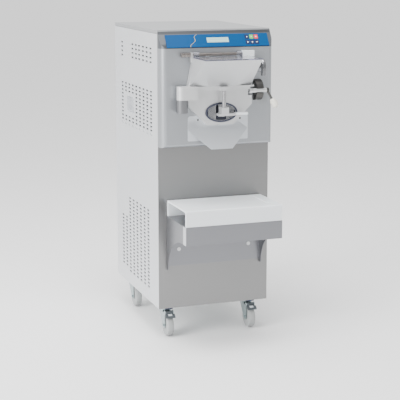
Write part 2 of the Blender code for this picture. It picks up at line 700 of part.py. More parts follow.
def make_drive():
    make_pulley("drive_pulley", DRIVE_PULLEY_RADIUS, AXIS_Z, SHAFT_RADIUS + RUNNING)
    make_pulley("motor_pulley", MOTOR_PULLEY_RADIUS, MOTOR_Z, SHAFT_RADIUS, tail=0.030)
    start, end = PULLEY_FRONT + 0.006, PULLEY_FRONT + PULLEY_THICK - 0.006
    band = prism(belt_outline(BELT_GAP + BELT_THICK), 1, start, end)
    gap = prism(belt_outline(BELT_GAP), 1, start - 0.01, end + 0.01)
    piece("drive_belt", dark_rubber, band, cut=[gap])
    nose, tail = MOTOR_NOSE, MOTOR_TAIL
    can = rod((0, 0, MOTOR_Z), 1, tail, nose - 0.012, MOTOR_RADIUS, 28)
    collar = rod((0, 0, MOTOR_Z), 1, nose - 0.014, nose, MOTOR_RADIUS * 0.45)
    foot = block((-0.055, tail + 0.04, MOTOR_Z - MOTOR_RADIUS - MOTOR_FOOT),
                 (0.055, nose - 0.05, MOTOR_Z - MOTOR_RADIUS * 0.8))
    piece("beater_motor", cast_iron, can, add=[collar, foot])


def make_refrigeration():
    """Compressor pot on the base, finned condenser inside the left vents and its fan."""
    base = FLOOR_PLATE + PLATE + SEAT
    wide, high = COMPRESSOR_RADIUS, COMPRESSOR_HEIGHT
    middle = (HALF_WIDTH - COMPRESSOR_PLACE[0], REAR - COMPRESSOR_PLACE[1], 0)
    pot = [(0, base), (wide - 0.005, base), (wide, base + 0.030), (wide - 0.005, base + high - 0.052),
           (wide - 0.045, base + high - 0.007), (0, base + high)]
    piece("compressor", cast_iron, turned(pot, middle, 2, 28))
    x, back = -HALF_WIDTH + CONDENSER_PLACE[0], REAR - CONDENSER_PLACE[1]
    thick, long, tall = CONDENSER_SIZE
    hub = (x + thick + FAN_GAP, back - long / 2, base + tall / 2 + FAN_RISE)
    core = block((x, back - long, base), (x + thick, back, base + tall))
    motor = rod(hub, 0, x + thick - WELD, hub[0] - FAN_BACK - SEAT, FAN_HUB - 0.002, 24)
    piece("condenser", dark_steel, core, add=[motor], smooth=False)
    blades = []
    for i in range(5):
        blade = block((-0.004, 0.015, -0.030), (0.0, FAN_RADIUS, 0.030))
        turn = Matrix.Translation(hub) @ Matrix.Rotation(radians(72 * i), 4, "X")
        blades.append(placed(blade, turn @ Matrix.Rotation(radians(28), 4, "Y")))
    boss = rod(hub, 0, hub[0] - FAN_BACK, hub[0] + 0.020, FAN_HUB, 24)
    piece("condenser_fan", dark_rubber, boss, add=blades, origin=hub)


def make_power_gland():
    """The cable gland through the rear panel, with an open cable way."""
    sheet, end = REAR - REAR_INSET - SHEET, REAR - 0.001
    thread, way = GLAND_RADIUS, GLAND_RADIUS * 0.5
    profile = [(way, sheet - 0.012), (thread * 1.4, sheet - 0.012), (thread * 1.4, sheet - SEAT),
               (thread, sheet - SEAT), (thread, end), (way, end)]
    piece("power_gland", dark_rubber, turned(profile, GLAND_PLACE, 1, 20))


# ---------------------------------------------------------------- door, hopper and gate
def hopper_corners(wall, top, foot):
    """Eight corners of the funnel in front of the door, moved inwards by a wall thickness."""
    wide, narrow = DOOR_HALF - 0.021 - wall, DOOR_HALF * 0.43 - wall
    reach, near = FRONT - HOPPER_REACH + wall, FRONT - DOOR_FRONT + 0.002 - wall * 1.2
    lip = FRONT - LEDGE_REACH + wall
    back = DOOR_HALF - 0.004 - wall
    upper = [(s * wide, y, top) for s in (-1, 1) for y in (reach, near)]
    lower = [(s * narrow, lip, foot) for s in (-1, 1)] + [(s * back, near, foot) for s in (-1, 1)]
    return upper + lower


def make_door():
    """Door plate with its hopper, filling throat, outlet, gate pocket and hinge arm."""
    back, front = FRONT - DOOR_BACK, FRONT - DOOR_FRONT
    chamfer = DOOR_HALF - 0.061
    head_half = DOOR_HALF - 0.025
    corners = [(-0.061, DOOR_FOOT), (0.061, DOOR_FOOT), (DOOR_HALF, DOOR_FOOT + chamfer),
               (DOOR_HALF, LEDGE_TOP), (head_half, DOOR_HEAD), (-head_half, DOOR_HEAD),
               (-DOOR_HALF, LEDGE_TOP), (-DOOR_HALF, DOOR_FOOT + chamfer)]
    plate = prism(rounded(corners, (0.006, 0.006, 0.004, 0, 0, 0, 0, 0.004), 2), 1, front, back)
    funnel = hull(hopper_corners(0.0, DOOR_HEAD, LEDGE_TOP - 0.002))
    ledge = block((-DOOR_HALF, FRONT - LEDGE_REACH, LEDGE_FOOT), (DOOR_HALF, front + 0.004, LEDGE_TOP))
    boss = block((OUTLET_SIDE - 0.020, GATE_Y - 0.016, LEDGE_FOOT),
                 (OUTLET_SIDE + 0.020, front + 0.004, LEDGE_TOP - 0.001))
    ear_side = LID_HALF + 0.001
    ear = block((-ear_side - 0.005, LID_AXIS[1] - 0.010, DOOR_HEAD - 0.020),
                (-ear_side + 0.004, LID_AXIS[1] + 0.010, LID_AXIS[2] + 0.010))
    rod_hole = rod(LID_AXIS, 0, -ear_side - 0.01, -ear_side + 0.01, LID_ROD_RADIUS + RUNNING, 20)
    arm_low, arm_high = LEDGE_TOP - ARM_HEIGHT + 0.002, LEDGE_TOP + 0.002
    arm_reach = HINGE_Y - HINGE_RADIUS
    round_end = rod((HINGE_X, HINGE_Y, 0), 2, arm_low, arm_high, HINGE_RADIUS, 28)
    arm = block((HINGE_X, arm_reach, arm_low), (-DOOR_HALF + 0.032, HINGE_Y + 0.016, arm_high))
    room = hull(hopper_corners(HOPPER_WALL, DOOR_HEAD + 0.01, LEDGE_TOP + 0.004))
    throat_foot = LEDGE_TOP + 0.0045
    throat = block((-THROAT_WIDTH / 2, front - 0.012, throat_foot),
                   (THROAT_WIDTH / 2, back + 0.01, throat_foot + THROAT_HEIGHT))
    outlet = prism(ellipse((OUTLET_SIDE, OUTLET_Z), OUTLET_HALF), 1, front - 0.01, back + 0.01)
    pocket = block((OUTLET_SIDE - 0.058, front + 0.0068, OUTLET_Z - 0.034),
                   (OUTLET_SIDE + 0.058, front + 0.0145, OUTLET_Z + 0.040 + GATE_TRAVEL))
    bore = rod((HINGE_X, HINGE_Y, 0), 2, arm_low - 0.01, arm_high + 0.01,
               HINGE_PIN_RADIUS + RUNNING, 28)
    notch_half = LATCH_PIN_RADIUS + NOTCH_MARGIN
    notch = block((DOOR_HALF - LATCH_BITE - 0.004, FRONT - LEDGE_REACH - 0.01, LATCH_Z - notch_half),
                  (DOOR_HALF + 0.01, back + 0.01, LATCH_Z + notch_half))
    piece("door_plate", bright, plate, add=[funnel, ledge, boss, round_end, arm, ear],
          cut=[room, throat, outlet, pocket, bore, notch, rod_hole], origin=(HINGE_X, HINGE_Y, arm_low))


def make_door_trim():
    back, front = FRONT - DOOR_BACK, FRONT - DOOR_FRONT
    hinge = (HINGE_X, HINGE_Y, AXIS_Z)
    inner = BARREL_RADIUS + 0.003
    seal = ring((0, 0, AXIS_Z), 1, back + SEAT, BARREL_FRONT - SEAT, inner, inner + GASKET_WIDTH, 40)
    piece("door_gasket", dark_rubber, seal, origin=hinge)
    outer = [h + OUTLET_RIM for h in OUTLET_HALF]
    centre = (OUTLET_SIDE, OUTLET_Z)
    rim = prism(ellipse(centre, outer), 1, front - SEAT - RIM_THICK, front - SEAT)
    hole = prism(ellipse(centre, OUTLET_HALF), 1, front - 0.02, front + 0.01)
    piece("outlet_ring", dark_steel, rim, cut=[hole], origin=hinge)
    inside = [h - SEAT for h in OUTLET_HALF]
    slot = block((OUTLET_SIDE - 0.013, front - 0.01, OUTLET_Z - 0.020),
                 (OUTLET_SIDE + 0.010, front + 0.02, OUTLET_Z + OUTLET_HALF[1] - 0.002))
    grille = prism(ellipse(centre, inside), 1, front + 0.0015, front + 0.0045)
    piece("outlet_grille", dark_steel, grille, cut=[slot], origin=hinge)


def make_lid():
    """Clear hopper lid on a round rod, with the rod's end block and knob."""
    _, y, z = LID_AXIS
    half = LID_HALF
    hinge = (HINGE_X, HINGE_Y, AXIS_Z)
    bar = rod((0, y, z), 0, -half - 0.008, half - 0.022, LID_ROD_RADIUS, 20)
    knob = rod((0, y, z), 0, HINGE_X + 0.004, -half - 0.0065, 0.0105, 8)
    piece("lid_rod", dark_steel, bar, add=[knob], origin=(0, y, z))
    holder_low = (half - 0.0215, y - 0.011, DOOR_HEAD + SEAT)
    holder = block(holder_low, (half + 0.032, y + 0.011, z + 0.013))
    piece("rod_holder", white_plastic, holder, origin=hinge)
    knuckles = []
    for start in (-half + 0.007, half - 0.048):
        knuckles.append(rod((0, y, z), 0, start, start + 0.024, LID_KNUCKLE, 24))
    bottom = DOOR_HEAD + SEAT
    front = FRONT - HOPPER_REACH - 0.002
    sheet = block((-half, front, bottom), (half, y + 0.002, bottom + LID_THICK))
    slot = block((-half + 0.033, y - 0.0125, bottom - 0.01), (half - 0.050, y + 0.02, z + 0.02))
    end = block((half - 0.022, y - LID_SET_BACK, bottom - 0.01), (half + 0.01, y + 0.02, z + 0.02))
    left = block((-half - 0.01, y - LID_SET_BACK, bottom - 0.01), (-half + 0.0065, y + 0.02, z + 0.02))
    bore = rod((0, y, z), 0, -half - 0.02, half + 0.02, LID_ROD_RADIUS + RUNNING, 20)
    piece("hopper_lid", clear_plastic, sheet, add=knuckles, cut=[slot, end, left, bore], origin=(0, y, z))


def make_gate():
    """Guide rod under the ledge, and the gate plate, block and lever that slide on it."""
    front = FRONT - DOOR_FRONT
    guide = rod((OUTLET_SIDE, GATE_Y, 0), 2, OUTLET_Z - 0.006, LEDGE_FOOT - SEAT, GUIDE_RADIUS, 20)
    piece("guide_rod", bright, guide, origin=(HINGE_X, HINGE_Y, AXIS_Z))
    home = (OUTLET_SIDE, GATE_Y, OUTLET_Z)
    plate = block((OUTLET_SIDE - 0.056, front + 0.0078, OUTLET_Z - 0.033),
                  (OUTLET_SIDE + 0.056, front + 0.0135, OUTLET_Z + 0.038))
    piece("gate_plate", bright, plate, origin=home, smooth=False)
    block_low = OUTLET_Z - 0.001
    body = centred_block((OUTLET_SIDE, GATE_Y, block_low + 0.0135), (2 * BLOCK_HALF, 2 * BLOCK_HALF, 0.027))
    foot = block((OUTLET_SIDE - 0.029, GATE_Y - 0.018, block_low - 0.009),
                 (OUTLET_SIDE + 0.048, GATE_Y + 0.018, block_low + 0.0005))
    neck = block((OUTLET_SIDE - 0.006, GATE_Y + 0.010, OUTLET_Z - 0.016),
                 (OUTLET_SIDE + 0.006, front + 0.0073, OUTLET_Z - 0.002))
    bore = rod((OUTLET_SIDE, GATE_Y, 0), 2, block_low - 0.02, block_low + 0.04, GUIDE_RADIUS + RUNNING, 20)
    piece("gate_block", bright, body, add=[foot, neck], cut=[bore], origin=home, smooth=False)
    base = (OUTLET_SIDE + 0.0485, GATE_Y)
    outline = rounded([(base[0], base[1] - 0.010), (base[0] + 0.030, base[1] - 0.010),
                       (base[0] + 0.060, base[1] - 0.016), (base[0] + 0.060, base[1] + 0.016),
                       (base[0] + 0.030, base[1] + 0.010), (base[0], base[1] + 0.010)],
                      (0, 0, 0.006, 0.006, 0, 0), 3)
    piece("gate_lever", white_plastic, prism(outline, 2, block_low - 0.008, block_low + 0.002),
          origin=home, smooth=False)


def make_hinge_post():
    """A fixed post on the fascia with the pin that carries the door's arm."""
    arm_low, arm_high = LEDGE_TOP - ARM_HEIGHT + 0.002, LEDGE_TOP + 0.002
    post = rod((HINGE_X, HINGE_Y, 0), 2, arm_low - POST_HEIGHT, arm_low - SEAT, HINGE_RADIUS, 28)
    pin = rod((HINGE_X, HINGE_Y, 0), 2, arm_low - 0.010, arm_high - 0.002, HINGE_PIN_RADIUS, 20)
    web = block((HINGE_X - 0.014, HINGE_Y, arm_low - POST_HEIGHT),
                (HINGE_X + 0.014, FASCIA_FRONT - SEAT, arm_low - 0.004))
    piece("hinge_post", steel, post, add=[pin, web], origin=(HINGE_X, HINGE_Y, arm_low))


# ---------------------------------------------------------------- latch and tap
def make_latch():
    """A half drum on the fascia, the pin through its slot, and the hand lever."""
    wall = FASCIA_FRONT - SEAT
    steps = 20
    outline = [(wall, LATCH_Z + LATCH_RADIUS), (wall, LATCH_Z - LATCH_RADIUS)]
    for step in range(1, steps):
        angle = -pi / 2 - pi * step / steps
        outline.append((wall + LATCH_RADIUS * cos(angle), LATCH_Z + LATCH_RADIUS * sin(angle)))
    drum = prism(outline, 0, LATCH_X, LATCH_X + LATCH_WIDTH)
    clear = LATCH_PIN_RADIUS + RUNNING
    slot = block((LATCH_X - 0.01, wall - LATCH_RADIUS - 0.01, LATCH_Z - clear),
                 (LATCH_X + LATCH_WIDTH + 0.01, LATCH_Y, LATCH_Z + clear))
    bore = rod((0, LATCH_Y, LATCH_Z), 0, LATCH_X - 0.01, LATCH_X + LATCH_WIDTH + 0.01, clear, 28)
    piece("latch_bracket", dark_steel, drum, cut=[slot, bore])
    axis = (LATCH_X, LATCH_Y, LATCH_Z)
    end = LATCH_X + LATCH_WIDTH + 0.014
    pin = rod((0, LATCH_Y, LATCH_Z), 0, DOOR_HALF - LATCH_BITE + 0.006, end, LATCH_PIN_RADIUS, 24)
    nut = rod((0, LATCH_Y, LATCH_Z), 0, DOOR_HALF - LATCH_BITE, DOOR_HALF - LATCH_BITE + 0.008, 0.0125, 6)
    piece("latch_pin", bright, pin, add=[nut], origin=axis)
    start = Vector((end + 0.005, LATCH_Y, LATCH_Z))
    knob = start + Vector((0.020, -0.034, -0.056))
    hub = rod((0, LATCH_Y, LATCH_Z), 0, end + SEAT, end + 0.0105, 0.0105, 20)
    arm = swept([start, start.lerp(knob, 0.75)], 0.0052, 12)
    piece("latch_lever", dark_steel, arm, add=[hub], origin=axis)
    along = (knob - start).normalized()
    frame = along.to_track_quat("Z", "Y").to_matrix().to_4x4()
    profile = [(0, -0.022), (0.011, -0.0205), (0.0148, -0.010), (0.0155, 0.004), (0.0125, 0.017), (0, 0.0215)]
    grip = placed(turned(profile, (0, 0, 0), 2, 20), Matrix.Translation(knob) @ frame)
    tip = start.lerp(knob, 0.75)
    socket = swept([tip - along * 0.02, tip + along * SEAT], 0.0052 + SEAT, 12)
    piece("latch_knob", white_plastic, grip, cut=[socket], origin=axis)


def make_tap():
    wall = FASCIA_FRONT - SEAT
    disc = [(0, 0), (TAP_RADIUS, 0), (TAP_RADIUS, -0.006), (TAP_RADIUS * 0.75, -0.011),
            (0.015, -0.012), (0, -0.012)]
    piece("tap_flange", bright, turned(disc, (TAP_X, wall, TAP_Z), 1, 32))
    start = Vector((TAP_X, wall - 0.012 - SEAT, TAP_Z))
    turns = [(0, 0), (-0.004, 0), (-0.008, 0), (-0.017, 0.010), (-0.027, 0.019), (-0.039, 0.016),
             (-0.046, 0.003), (-0.048, -0.014), (-0.048, -0.043)]
    path = smooth_path([start + Vector((0, y, z)) for y, z in turns], 3)
    spout = swept(path, SPOUT_RADIUS, 16)
    mouth = rod(path[-1], 2, path[-1].z - 0.01, path[-1].z + 0.012, SPOUT_RADIUS - 0.002, 16)
    piece("tap_spout", bright, spout, cut=[mouth], origin=start)


# ---------------------------------------------------------------- chute and shelf
def make_chute():
    """A folded sheet hung on the fascia below the door: back plate and a tapering slide."""
    wall = FASCIA_FRONT - SEAT
    top, fold, lip = AXIS_Z - CHUTE_TOP, AXIS_Z - CHUTE_FOLD, AXIS_Z - CHUTE_LIP
    foot = fold - 0.050
    corners = [(-CHUTE_HALF, foot), (CHUTE_HALF, foot), (CHUTE_HALF, top), (-CHUTE_HALF, top)]
    back = prism(rounded(corners, (0.004, 0.004, 0.014, 0.014), 4), 1, wall - CHUTE_SHEET, wall)
    near, far = wall - CHUTE_SHEET + 0.0005, FASCIA_FRONT - CHUTE_LIP_OUT
    thick = CHUTE_SHEET * 1.8
    slide = hull([(s * CHUTE_HALF, near, z) for s in (-1, 1) for z in (fold, fold - thick)]
                 + [(s * CHUTE_LIP_HALF, far, z) for s in (-1, 1) for z in (lip, lip - thick)])
    clear = BARREL_RADIUS + FLANGE_WIDTH + 0.003
    round_cut = rod((0, 0, AXIS_Z), 1, wall - 0.02, wall + 0.01, clear, 40)
    piece("delivery_chute", steel, back, add=[slide], cut=[round_cut], smooth=False)


def make_tray():
    """An upturned channel of white plastic that lies on the bracket, with a shallow recess on top."""
    top = SILL + SHELF_TOP
    front, back = FRONT - SHELF_REACH, FRONT - 0.003
    foot = top - TRAY_HEIGHT
    outline = rounded([(front, foot), (front + TRAY_WALL, foot), (front + TRAY_WALL, top - TRAY_DECK),
                       (back - TRAY_WALL, top - TRAY_DECK), (back - TRAY_WALL, foot), (back, foot),
                       (back, top), (front, top)],
                      (0.002, 0, 0.004, 0.004, 0, 0.002, 0.006, 0.006), 3)
    recess = block((-TRAY_HALF + 0.045, front + 0.040, top - TRAY_RECESS),
                   (TRAY_HALF - 0.045, back - 0.030, top + 0.01))
    piece("shelf_tray", white_plastic, prism(outline, 0, -TRAY_HALF, TRAY_HALF), cut=[recess],
          origin=(0, (front + back) / 2, foot))


def make_bracket():
    """Folded shelf bracket: deck, front apron, two gussets with a curved front edge and a back plate."""
    deck = SILL + SHELF_TOP - TRAY_HEIGHT - SEAT
    front, wall = FRONT - SHELF_REACH + 0.001, FRONT - SEAT
    apron_foot, gusset_foot = deck - APRON_HEIGHT, SILL + GUSSET_FOOT
    sheet = BRACKET_SHEET
    start, end = front + 0.045, wall - 0.020
    curve = []
    for step in range(9):
        angle = radians(90 * step / 8)
        curve.append((end - (end - start) * (1 - sin(angle)),
                      gusset_foot + 0.004 + (apron_foot - gusset_foot - 0.004) * cos(angle)))
    outline = [(front, deck), (front, apron_foot)] + curve
    outline += [(wall - 0.012, gusset_foot), (wall, gusset_foot), (wall, deck)]
    inside = BRACKET_HALF - sheet
    room = block((-inside, front + sheet, gusset_foot - 0.01), (inside, wall - sheet, deck - sheet))
    notch = block((-inside, wall - 0.01, gusset_foot - 0.01), (inside, wall + 0.01, SILL + BACKPLATE_FOOT))
    piece("shelf_bracket", steel, prism(outline, 0, -BRACKET_HALF, BRACKET_HALF), cut=[room, notch],
          smooth=False)


# ---------------------------------------------------------------- casters
def make_caster(name, place, braked):
    """Swivel fork with its axle, the wheel, and a brake pedal on the braked ones."""
    x, y = place
    top = SILL - BASE_DROP - SEAT
    wheel_y, wheel_z = y - CASTER_TRAIL, WHEEL_RADIUS
    inside = WHEEL_WIDTH / 2 + FORK_CLEAR
    outside = inside + FORK_SHEET
    swivel = [(0, top), (SWIVEL_RADIUS - 0.004, top), (SWIVEL_RADIUS, top - 0.005),
              (SWIVEL_RADIUS, top - 0.014), (0, top - 0.016)]
    crown_low = wheel_z + WHEEL_RADIUS + 0.005
    crown = block((x - outside, wheel_y - 0.012, crown_low), (x + outside, y + 0.026, crown_low + 0.004))
    neck = block((x - 0.020, y - 0.020, crown_low), (x + 0.020, y + 0.020, top - 0.010))
    axle = rod((0, wheel_y, wheel_z), 0, x - outside - 0.005, x + outside + 0.005, AXLE_RADIUS, 16)
    leg = rounded([(y + 0.026, crown_low + 0.003), (wheel_y - 0.012, crown_low + 0.003),
                   (wheel_y - 0.016, wheel_z - 0.012), (wheel_y + 0.012, wheel_z - 0.012)],
                  (0.003, 0.003, 0.010, 0.010), 3)
    legs = [prism(leg, 0, x + s * inside, x + s * outside) for s in (-1, 1)]
    pivot = (x, wheel_y - 0.016, crown_low + 0.0095)
    ears = []
    if braked:
        ear_low, ear_high = (pivot[1] - 0.005, crown_low - 0.004), (wheel_y - 0.002, pivot[2] + 0.005)
        ear = rounded_box(ear_low, ear_high, 0.002)
        ears = [prism(ear, 0, x + s * inside, x + s * outside) for s in (-1, 1)]
        ears.append(rod((0, *pivot[1:]), 0, x - outside + 0.001, x + outside - 0.001, PEDAL_PIN, 12))
    piece(f"caster_fork_{name}", zinc, turned(swivel, (x, y, 0), 2, 24),
          add=[neck, crown, *legs, axle, *ears], origin=(x, y, top))
    half, tread = WHEEL_WIDTH / 2, WHEEL_RADIUS
    hole = AXLE_RADIUS + RUNNING
    face = [(hole, half), (tread * 0.66, half - 0.001), (tread * 0.72, half),
            (tread * 0.93, half - 0.001), (tread, half * 0.45)]
    profile = [(radius, -along) for radius, along in face] + face[::-1]
    piece(f"caster_wheel_{name}", grey_rubber, turned(profile, (x, wheel_y, wheel_z), 0, 32),
          origin=(x, wheel_y, wheel_z))
    if braked:
        barrel = rod((0, *pivot[1:]), 0, x - inside + SEAT, x + inside - SEAT, PEDAL_BARREL, 16)
        bore = rod((0, *pivot[1:]), 0, x - inside - 0.001, x + inside + 0.001, PEDAL_PIN + RUNNING, 16)
        tongue = block((x - inside + SEAT + 0.001, pivot[1] - PEDAL_NECK - 0.002, pivot[2] - 0.003),
                       (x + inside - SEAT - 0.001, pivot[1] - 0.001, pivot[2] + 0.002))
        pad = block((x - outside - 0.002, pivot[1] - PEDAL_REACH, pivot[2] - 0.003),
                    (x + outside + 0.002, pivot[1] - PEDAL_NECK, pivot[2] + 0.002))
        tilt = (Matrix.Translation(pivot) @ Matrix.Rotation(radians(PEDAL_TILT), 4, "X")
                @ Matrix.Translation([-c for c in pivot]))
        add = [placed(tongue, tilt), placed(pad, tilt)]
        piece(f"brake_pedal_{name}", dark_steel, barrel, add=add, cut=[bore], origin=pivot)


def make_casters():
    names = ("front_left", "front_right", "rear_left", "rear_right")
    for name, place in zip(names, caster_places()):
        make_caster(name, place, name.startswith("front"))


make_chassis()
make_side_panel("left_side_panel", -1)
make_side_panel("right_side_panel", 1)
make_rear_panel()
make_front_panel()
make_fascia()
make_top_cover()
make_control_panel()
make_control_box()
make_barrel()
make_bearing_housing()
make_beater()
make_drive()
make_refrigeration()
make_power_gland()
make_door()
make_door_trim()
make_lid()
make_gate()
make_hinge_post()
make_latch()
make_tap()
make_chute()
make_tray()
make_bracket()
make_casters()
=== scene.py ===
"""A floor-standing batch freezer for ice cream: finishes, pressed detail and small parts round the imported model.

Metres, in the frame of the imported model: the front faces -Y, the left side is at -X, the floor is z = 0.
"""

import json
import math

import bmesh
import bpy
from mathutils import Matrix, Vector


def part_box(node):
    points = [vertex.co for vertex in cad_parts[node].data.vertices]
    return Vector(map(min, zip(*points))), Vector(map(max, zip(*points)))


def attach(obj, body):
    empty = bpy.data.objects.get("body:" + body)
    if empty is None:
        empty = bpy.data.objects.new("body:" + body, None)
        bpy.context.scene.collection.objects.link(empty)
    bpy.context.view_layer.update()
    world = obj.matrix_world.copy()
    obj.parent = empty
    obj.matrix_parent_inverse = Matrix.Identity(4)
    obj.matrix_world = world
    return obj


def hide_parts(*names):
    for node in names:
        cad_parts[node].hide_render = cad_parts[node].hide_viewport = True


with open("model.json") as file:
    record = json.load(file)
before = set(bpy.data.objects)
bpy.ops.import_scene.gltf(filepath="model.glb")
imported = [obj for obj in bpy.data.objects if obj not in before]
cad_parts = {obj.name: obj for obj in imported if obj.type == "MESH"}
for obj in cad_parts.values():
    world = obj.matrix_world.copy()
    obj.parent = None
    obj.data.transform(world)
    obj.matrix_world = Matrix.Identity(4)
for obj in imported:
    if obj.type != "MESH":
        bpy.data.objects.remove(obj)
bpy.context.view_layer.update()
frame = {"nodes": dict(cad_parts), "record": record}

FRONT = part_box("front_panel")[0].y
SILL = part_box("left_side_panel")[0].z
LEFT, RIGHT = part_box("left_side_panel")[0].x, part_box("right_side_panel")[1].x
BODY_OF = {node: body for body, nodes in frame["record"]["behaviour"]["bodies"].items() for node in nodes}
SLOPE = math.radians(56.2)  # the control area's lean from level

EYE, EYE_DOWN, EYE_LEFT = (-1.806, -5.1123, 1.6927), 0.1843, -0.3409  # the viewer's place, and radians down and round
LENS, SENSOR, SHIFT = 107.36, 36, -0.05
ROOM_LIGHT = 0.42  # strength from every direction, once for each of the glows below
GLOWS = (  # direction, where the glow starts and is full, and its strength
    ((0, 0, 1), 0.0, 1.0, 0.75),
    ((-0.97, 0.2, 0.1), -0.2, 1.0, 0.80),
    ((0.2, 0.95, 0.2), -0.3, 1.0, 0.55),
)


# ---------------------------------------------------------------- camera, floor and light

def shown(name, data):
    """An object with this data, linked into the scene."""
    made = bpy.data.objects.new(name, data)
    bpy.context.scene.collection.objects.link(made)
    return made


def set_camera():
    lens = bpy.data.cameras.new("view")
    lens.lens, lens.sensor_width, lens.shift_y = LENS, SENSOR, SHIFT
    eye = shown("view", lens)
    eye.location = EYE
    eye.rotation_euler = (math.pi / 2 - EYE_DOWN, 0, EYE_LEFT)
    bpy.context.scene.camera = eye


def area_light(name, place, target, size, power, colour=(1, 1, 1)):
    lamp = bpy.data.lights.new(name, "AREA")
    lamp.shape, lamp.size, lamp.size_y, lamp.energy, lamp.color = "RECTANGLE", size[0], size[1], power, colour
    stand = shown(name, lamp)
    stand.location = place
    stand.rotation_euler = (Vector(target) - Vector(place)).to_track_quat("-Z", "Y").to_euler()


def light_room():
    """A white studio that is brightest overhead and to the left, and dim on the viewer's side."""
    world = bpy.data.worlds.new("studio")
    bpy.context.scene.world = world
    world.use_nodes = True
    nodes, links = world.node_tree.nodes, world.node_tree.links
    toward = nodes.new("ShaderNodeTexCoord").outputs["Generated"]
    glow = nodes["Background"]
    glow.inputs["Color"].default_value = (1, 1, 1, 1)
    total = None
    for direction, low, high, gain in GLOWS:
        facing = nodes.new("ShaderNodeVectorMath")
        facing.operation = "DOT_PRODUCT"
        facing.inputs[1].default_value = direction
        links.new(toward, facing.inputs[0])
        share = nodes.new("ShaderNodeMapRange")
        for socket, value in (("From Min", low), ("From Max", high), ("To Max", gain)):
            share.inputs[socket].default_value = value
        links.new(facing.outputs["Value"], share.inputs["Value"])
        added = nodes.new("ShaderNodeMath")
        added.inputs[1].default_value = ROOM_LIGHT
        links.new(share.outputs[0], added.inputs[0])
        if total:
            links.new(total, added.inputs[1])
        total = added.outputs[0]
    links.new(total, glow.inputs["Strength"])


# ---------------------------------------------------------------- shader maths

class Value:
    """A shader socket that takes part in sums."""

    def __init__(self, tree, socket):
        self.tree, self.socket = tree, socket

    def _with(self, operation, *terms, clamp=False):
        return self.tree.node("ShaderNodeMath", {"operation": operation, "use_clamp": clamp},
                              {i: term for i, term in enumerate(terms)}).out(0)

    def __add__(self, other): return self._with("ADD", self, other)
    def __radd__(self, other): return self._with("ADD", other, self)
    def __sub__(self, other): return self._with("SUBTRACT", self, other)
    def __rsub__(self, other): return self._with("SUBTRACT", other, self)
    def __mul__(self, other): return self._with("MULTIPLY", self, other)
    def __rmul__(self, other): return self._with("MULTIPLY", other, self)
    def __truediv__(self, other): return self._with("DIVIDE", self, other)

    def above(self, edge, soft):
        """0 below edge, 1 above it, with a ramp this wide."""
        return self._with("MULTIPLY_ADD", self, 1 / soft, 0.5 - edge / soft, clamp=True)

    def size(self): return self._with("ABSOLUTE", self)
    def sine(self): return self._with("SINE", self)


class Made:
    """A node, whose outputs are read as values."""

    def __init__(self, tree, node):
        self.tree, self.made = tree, node

    def out(self, key):
        return Value(self.tree, self.made.outputs[key])


class Finish:
    """One material and the nodes in it."""

    def __init__(self, name, **constants):
        self.material = bpy.data.materials.new(name)
        self.material.use_nodes = True
        self.nodes, self.links = self.material.node_tree.nodes, self.material.node_tree.links
        self.shader = self.nodes["Principled BSDF"]
        for socket, value in constants.items():
            self.shader.inputs[socket.replace("_", " ")].default_value = value
        self.place = self.node("ShaderNodeTexCoord").out("Object")
        parts = self.node("ShaderNodeSeparateXYZ", {}, {0: self.place})
        self.x, self.y, self.z = (parts.out(i) for i in range(3))

    def node(self, kind, settings=None, inputs=None):
        made = self.nodes.new(kind)
        for name, value in (settings or {}).items():
            setattr(made, name, value)
        for key, value in (inputs or {}).items():
            if isinstance(value, Value):
                self.links.new(value.socket, made.inputs[key])
            else:
                made.inputs[key].default_value = value
        return Made(self, made)

    def stretched(self, scale):
        return self.node("ShaderNodeMapping", {}, {0: self.place, 3: scale}).out(0)

    def noise(self, scale=1.0, detail=2.0, stretch=(1, 1, 1), rough=0.5):
        return self.node("ShaderNodeTexNoise", {}, {"Vector": self.stretched(stretch), "Scale": scale,
                                                    "Detail": detail, "Roughness": rough}).out(0)

    def mix(self, share, low, high):
        """A blend of two colours, each a tuple or a value."""
        low, high = ((*c, 1) if isinstance(c, tuple) else c for c in (low, high))
        return self.node("ShaderNodeMix", {"data_type": "RGBA"}, {0: share, 6: low, 7: high}).out(2)

    def relief(self, height, depth, strength):
        bump = self.node("ShaderNodeBump", {}, {"Strength": strength, "Distance": depth, "Height": height})
        self.set("Normal", bump.out(0))

    def set(self, socket, value):
        self.links.new(value.socket, self.shader.inputs[socket])


def linear(r, g, b):
    return tuple(((c / 255 + 0.055) / 1.055) ** 2.4 if c > 10 else c / 255 / 12.92 for c in (r, g, b))


def brushed(name, tone, grain, rough=0.34, spread=0.10, metallic=0.85, shade=None):
    """Sheet steel with fine brushing along one axis, faint wiping marks and a slow change of tone."""
    steel = Finish(name, Metallic=metallic, Specular_IOR_Level=0.5)
    lines = steel.noise(1.0, 3, grain, 0.7)
    wipes = steel.noise(5.0, 4, (1, 1, 0.6), 0.6)
    tone_low = tuple(c * 0.90 for c in tone)
    colour = steel.mix(lines * 0.55 + wipes * 0.45, tone_low, tuple(min(1, c * 1.07) for c in tone))
    if shade:
        colour = shade(steel, colour)
    steel.set("Base Color", colour)
    steel.set("Roughness", rough - spread / 2 + lines * spread + (wipes - 0.5) * 0.10)
    steel.relief(lines, 0.00012, 0.35)
    return steel.material


ACROSS, UPRIGHT, DEEP = (6, 700, 700), (700, 700, 6), (700, 6, 700)


def cast(name, tone, rough, metallic=0.9, pits=900.0, depth=0.0001):
    """Cast, turned or plated metal: a fine even grain with a little staining."""
    metal = Finish(name, Metallic=metallic)
    grain, stain = metal.noise(pits, 2), metal.noise(14, 4)
    metal.set("Base Color", metal.mix(stain, tuple(c * 0.86 for c in tone), tone))
    metal.set("Roughness", rough - 0.06 + stain * 0.12 + grain * 0.04)
    metal.relief(grain, depth, 0.4)
    return metal.material


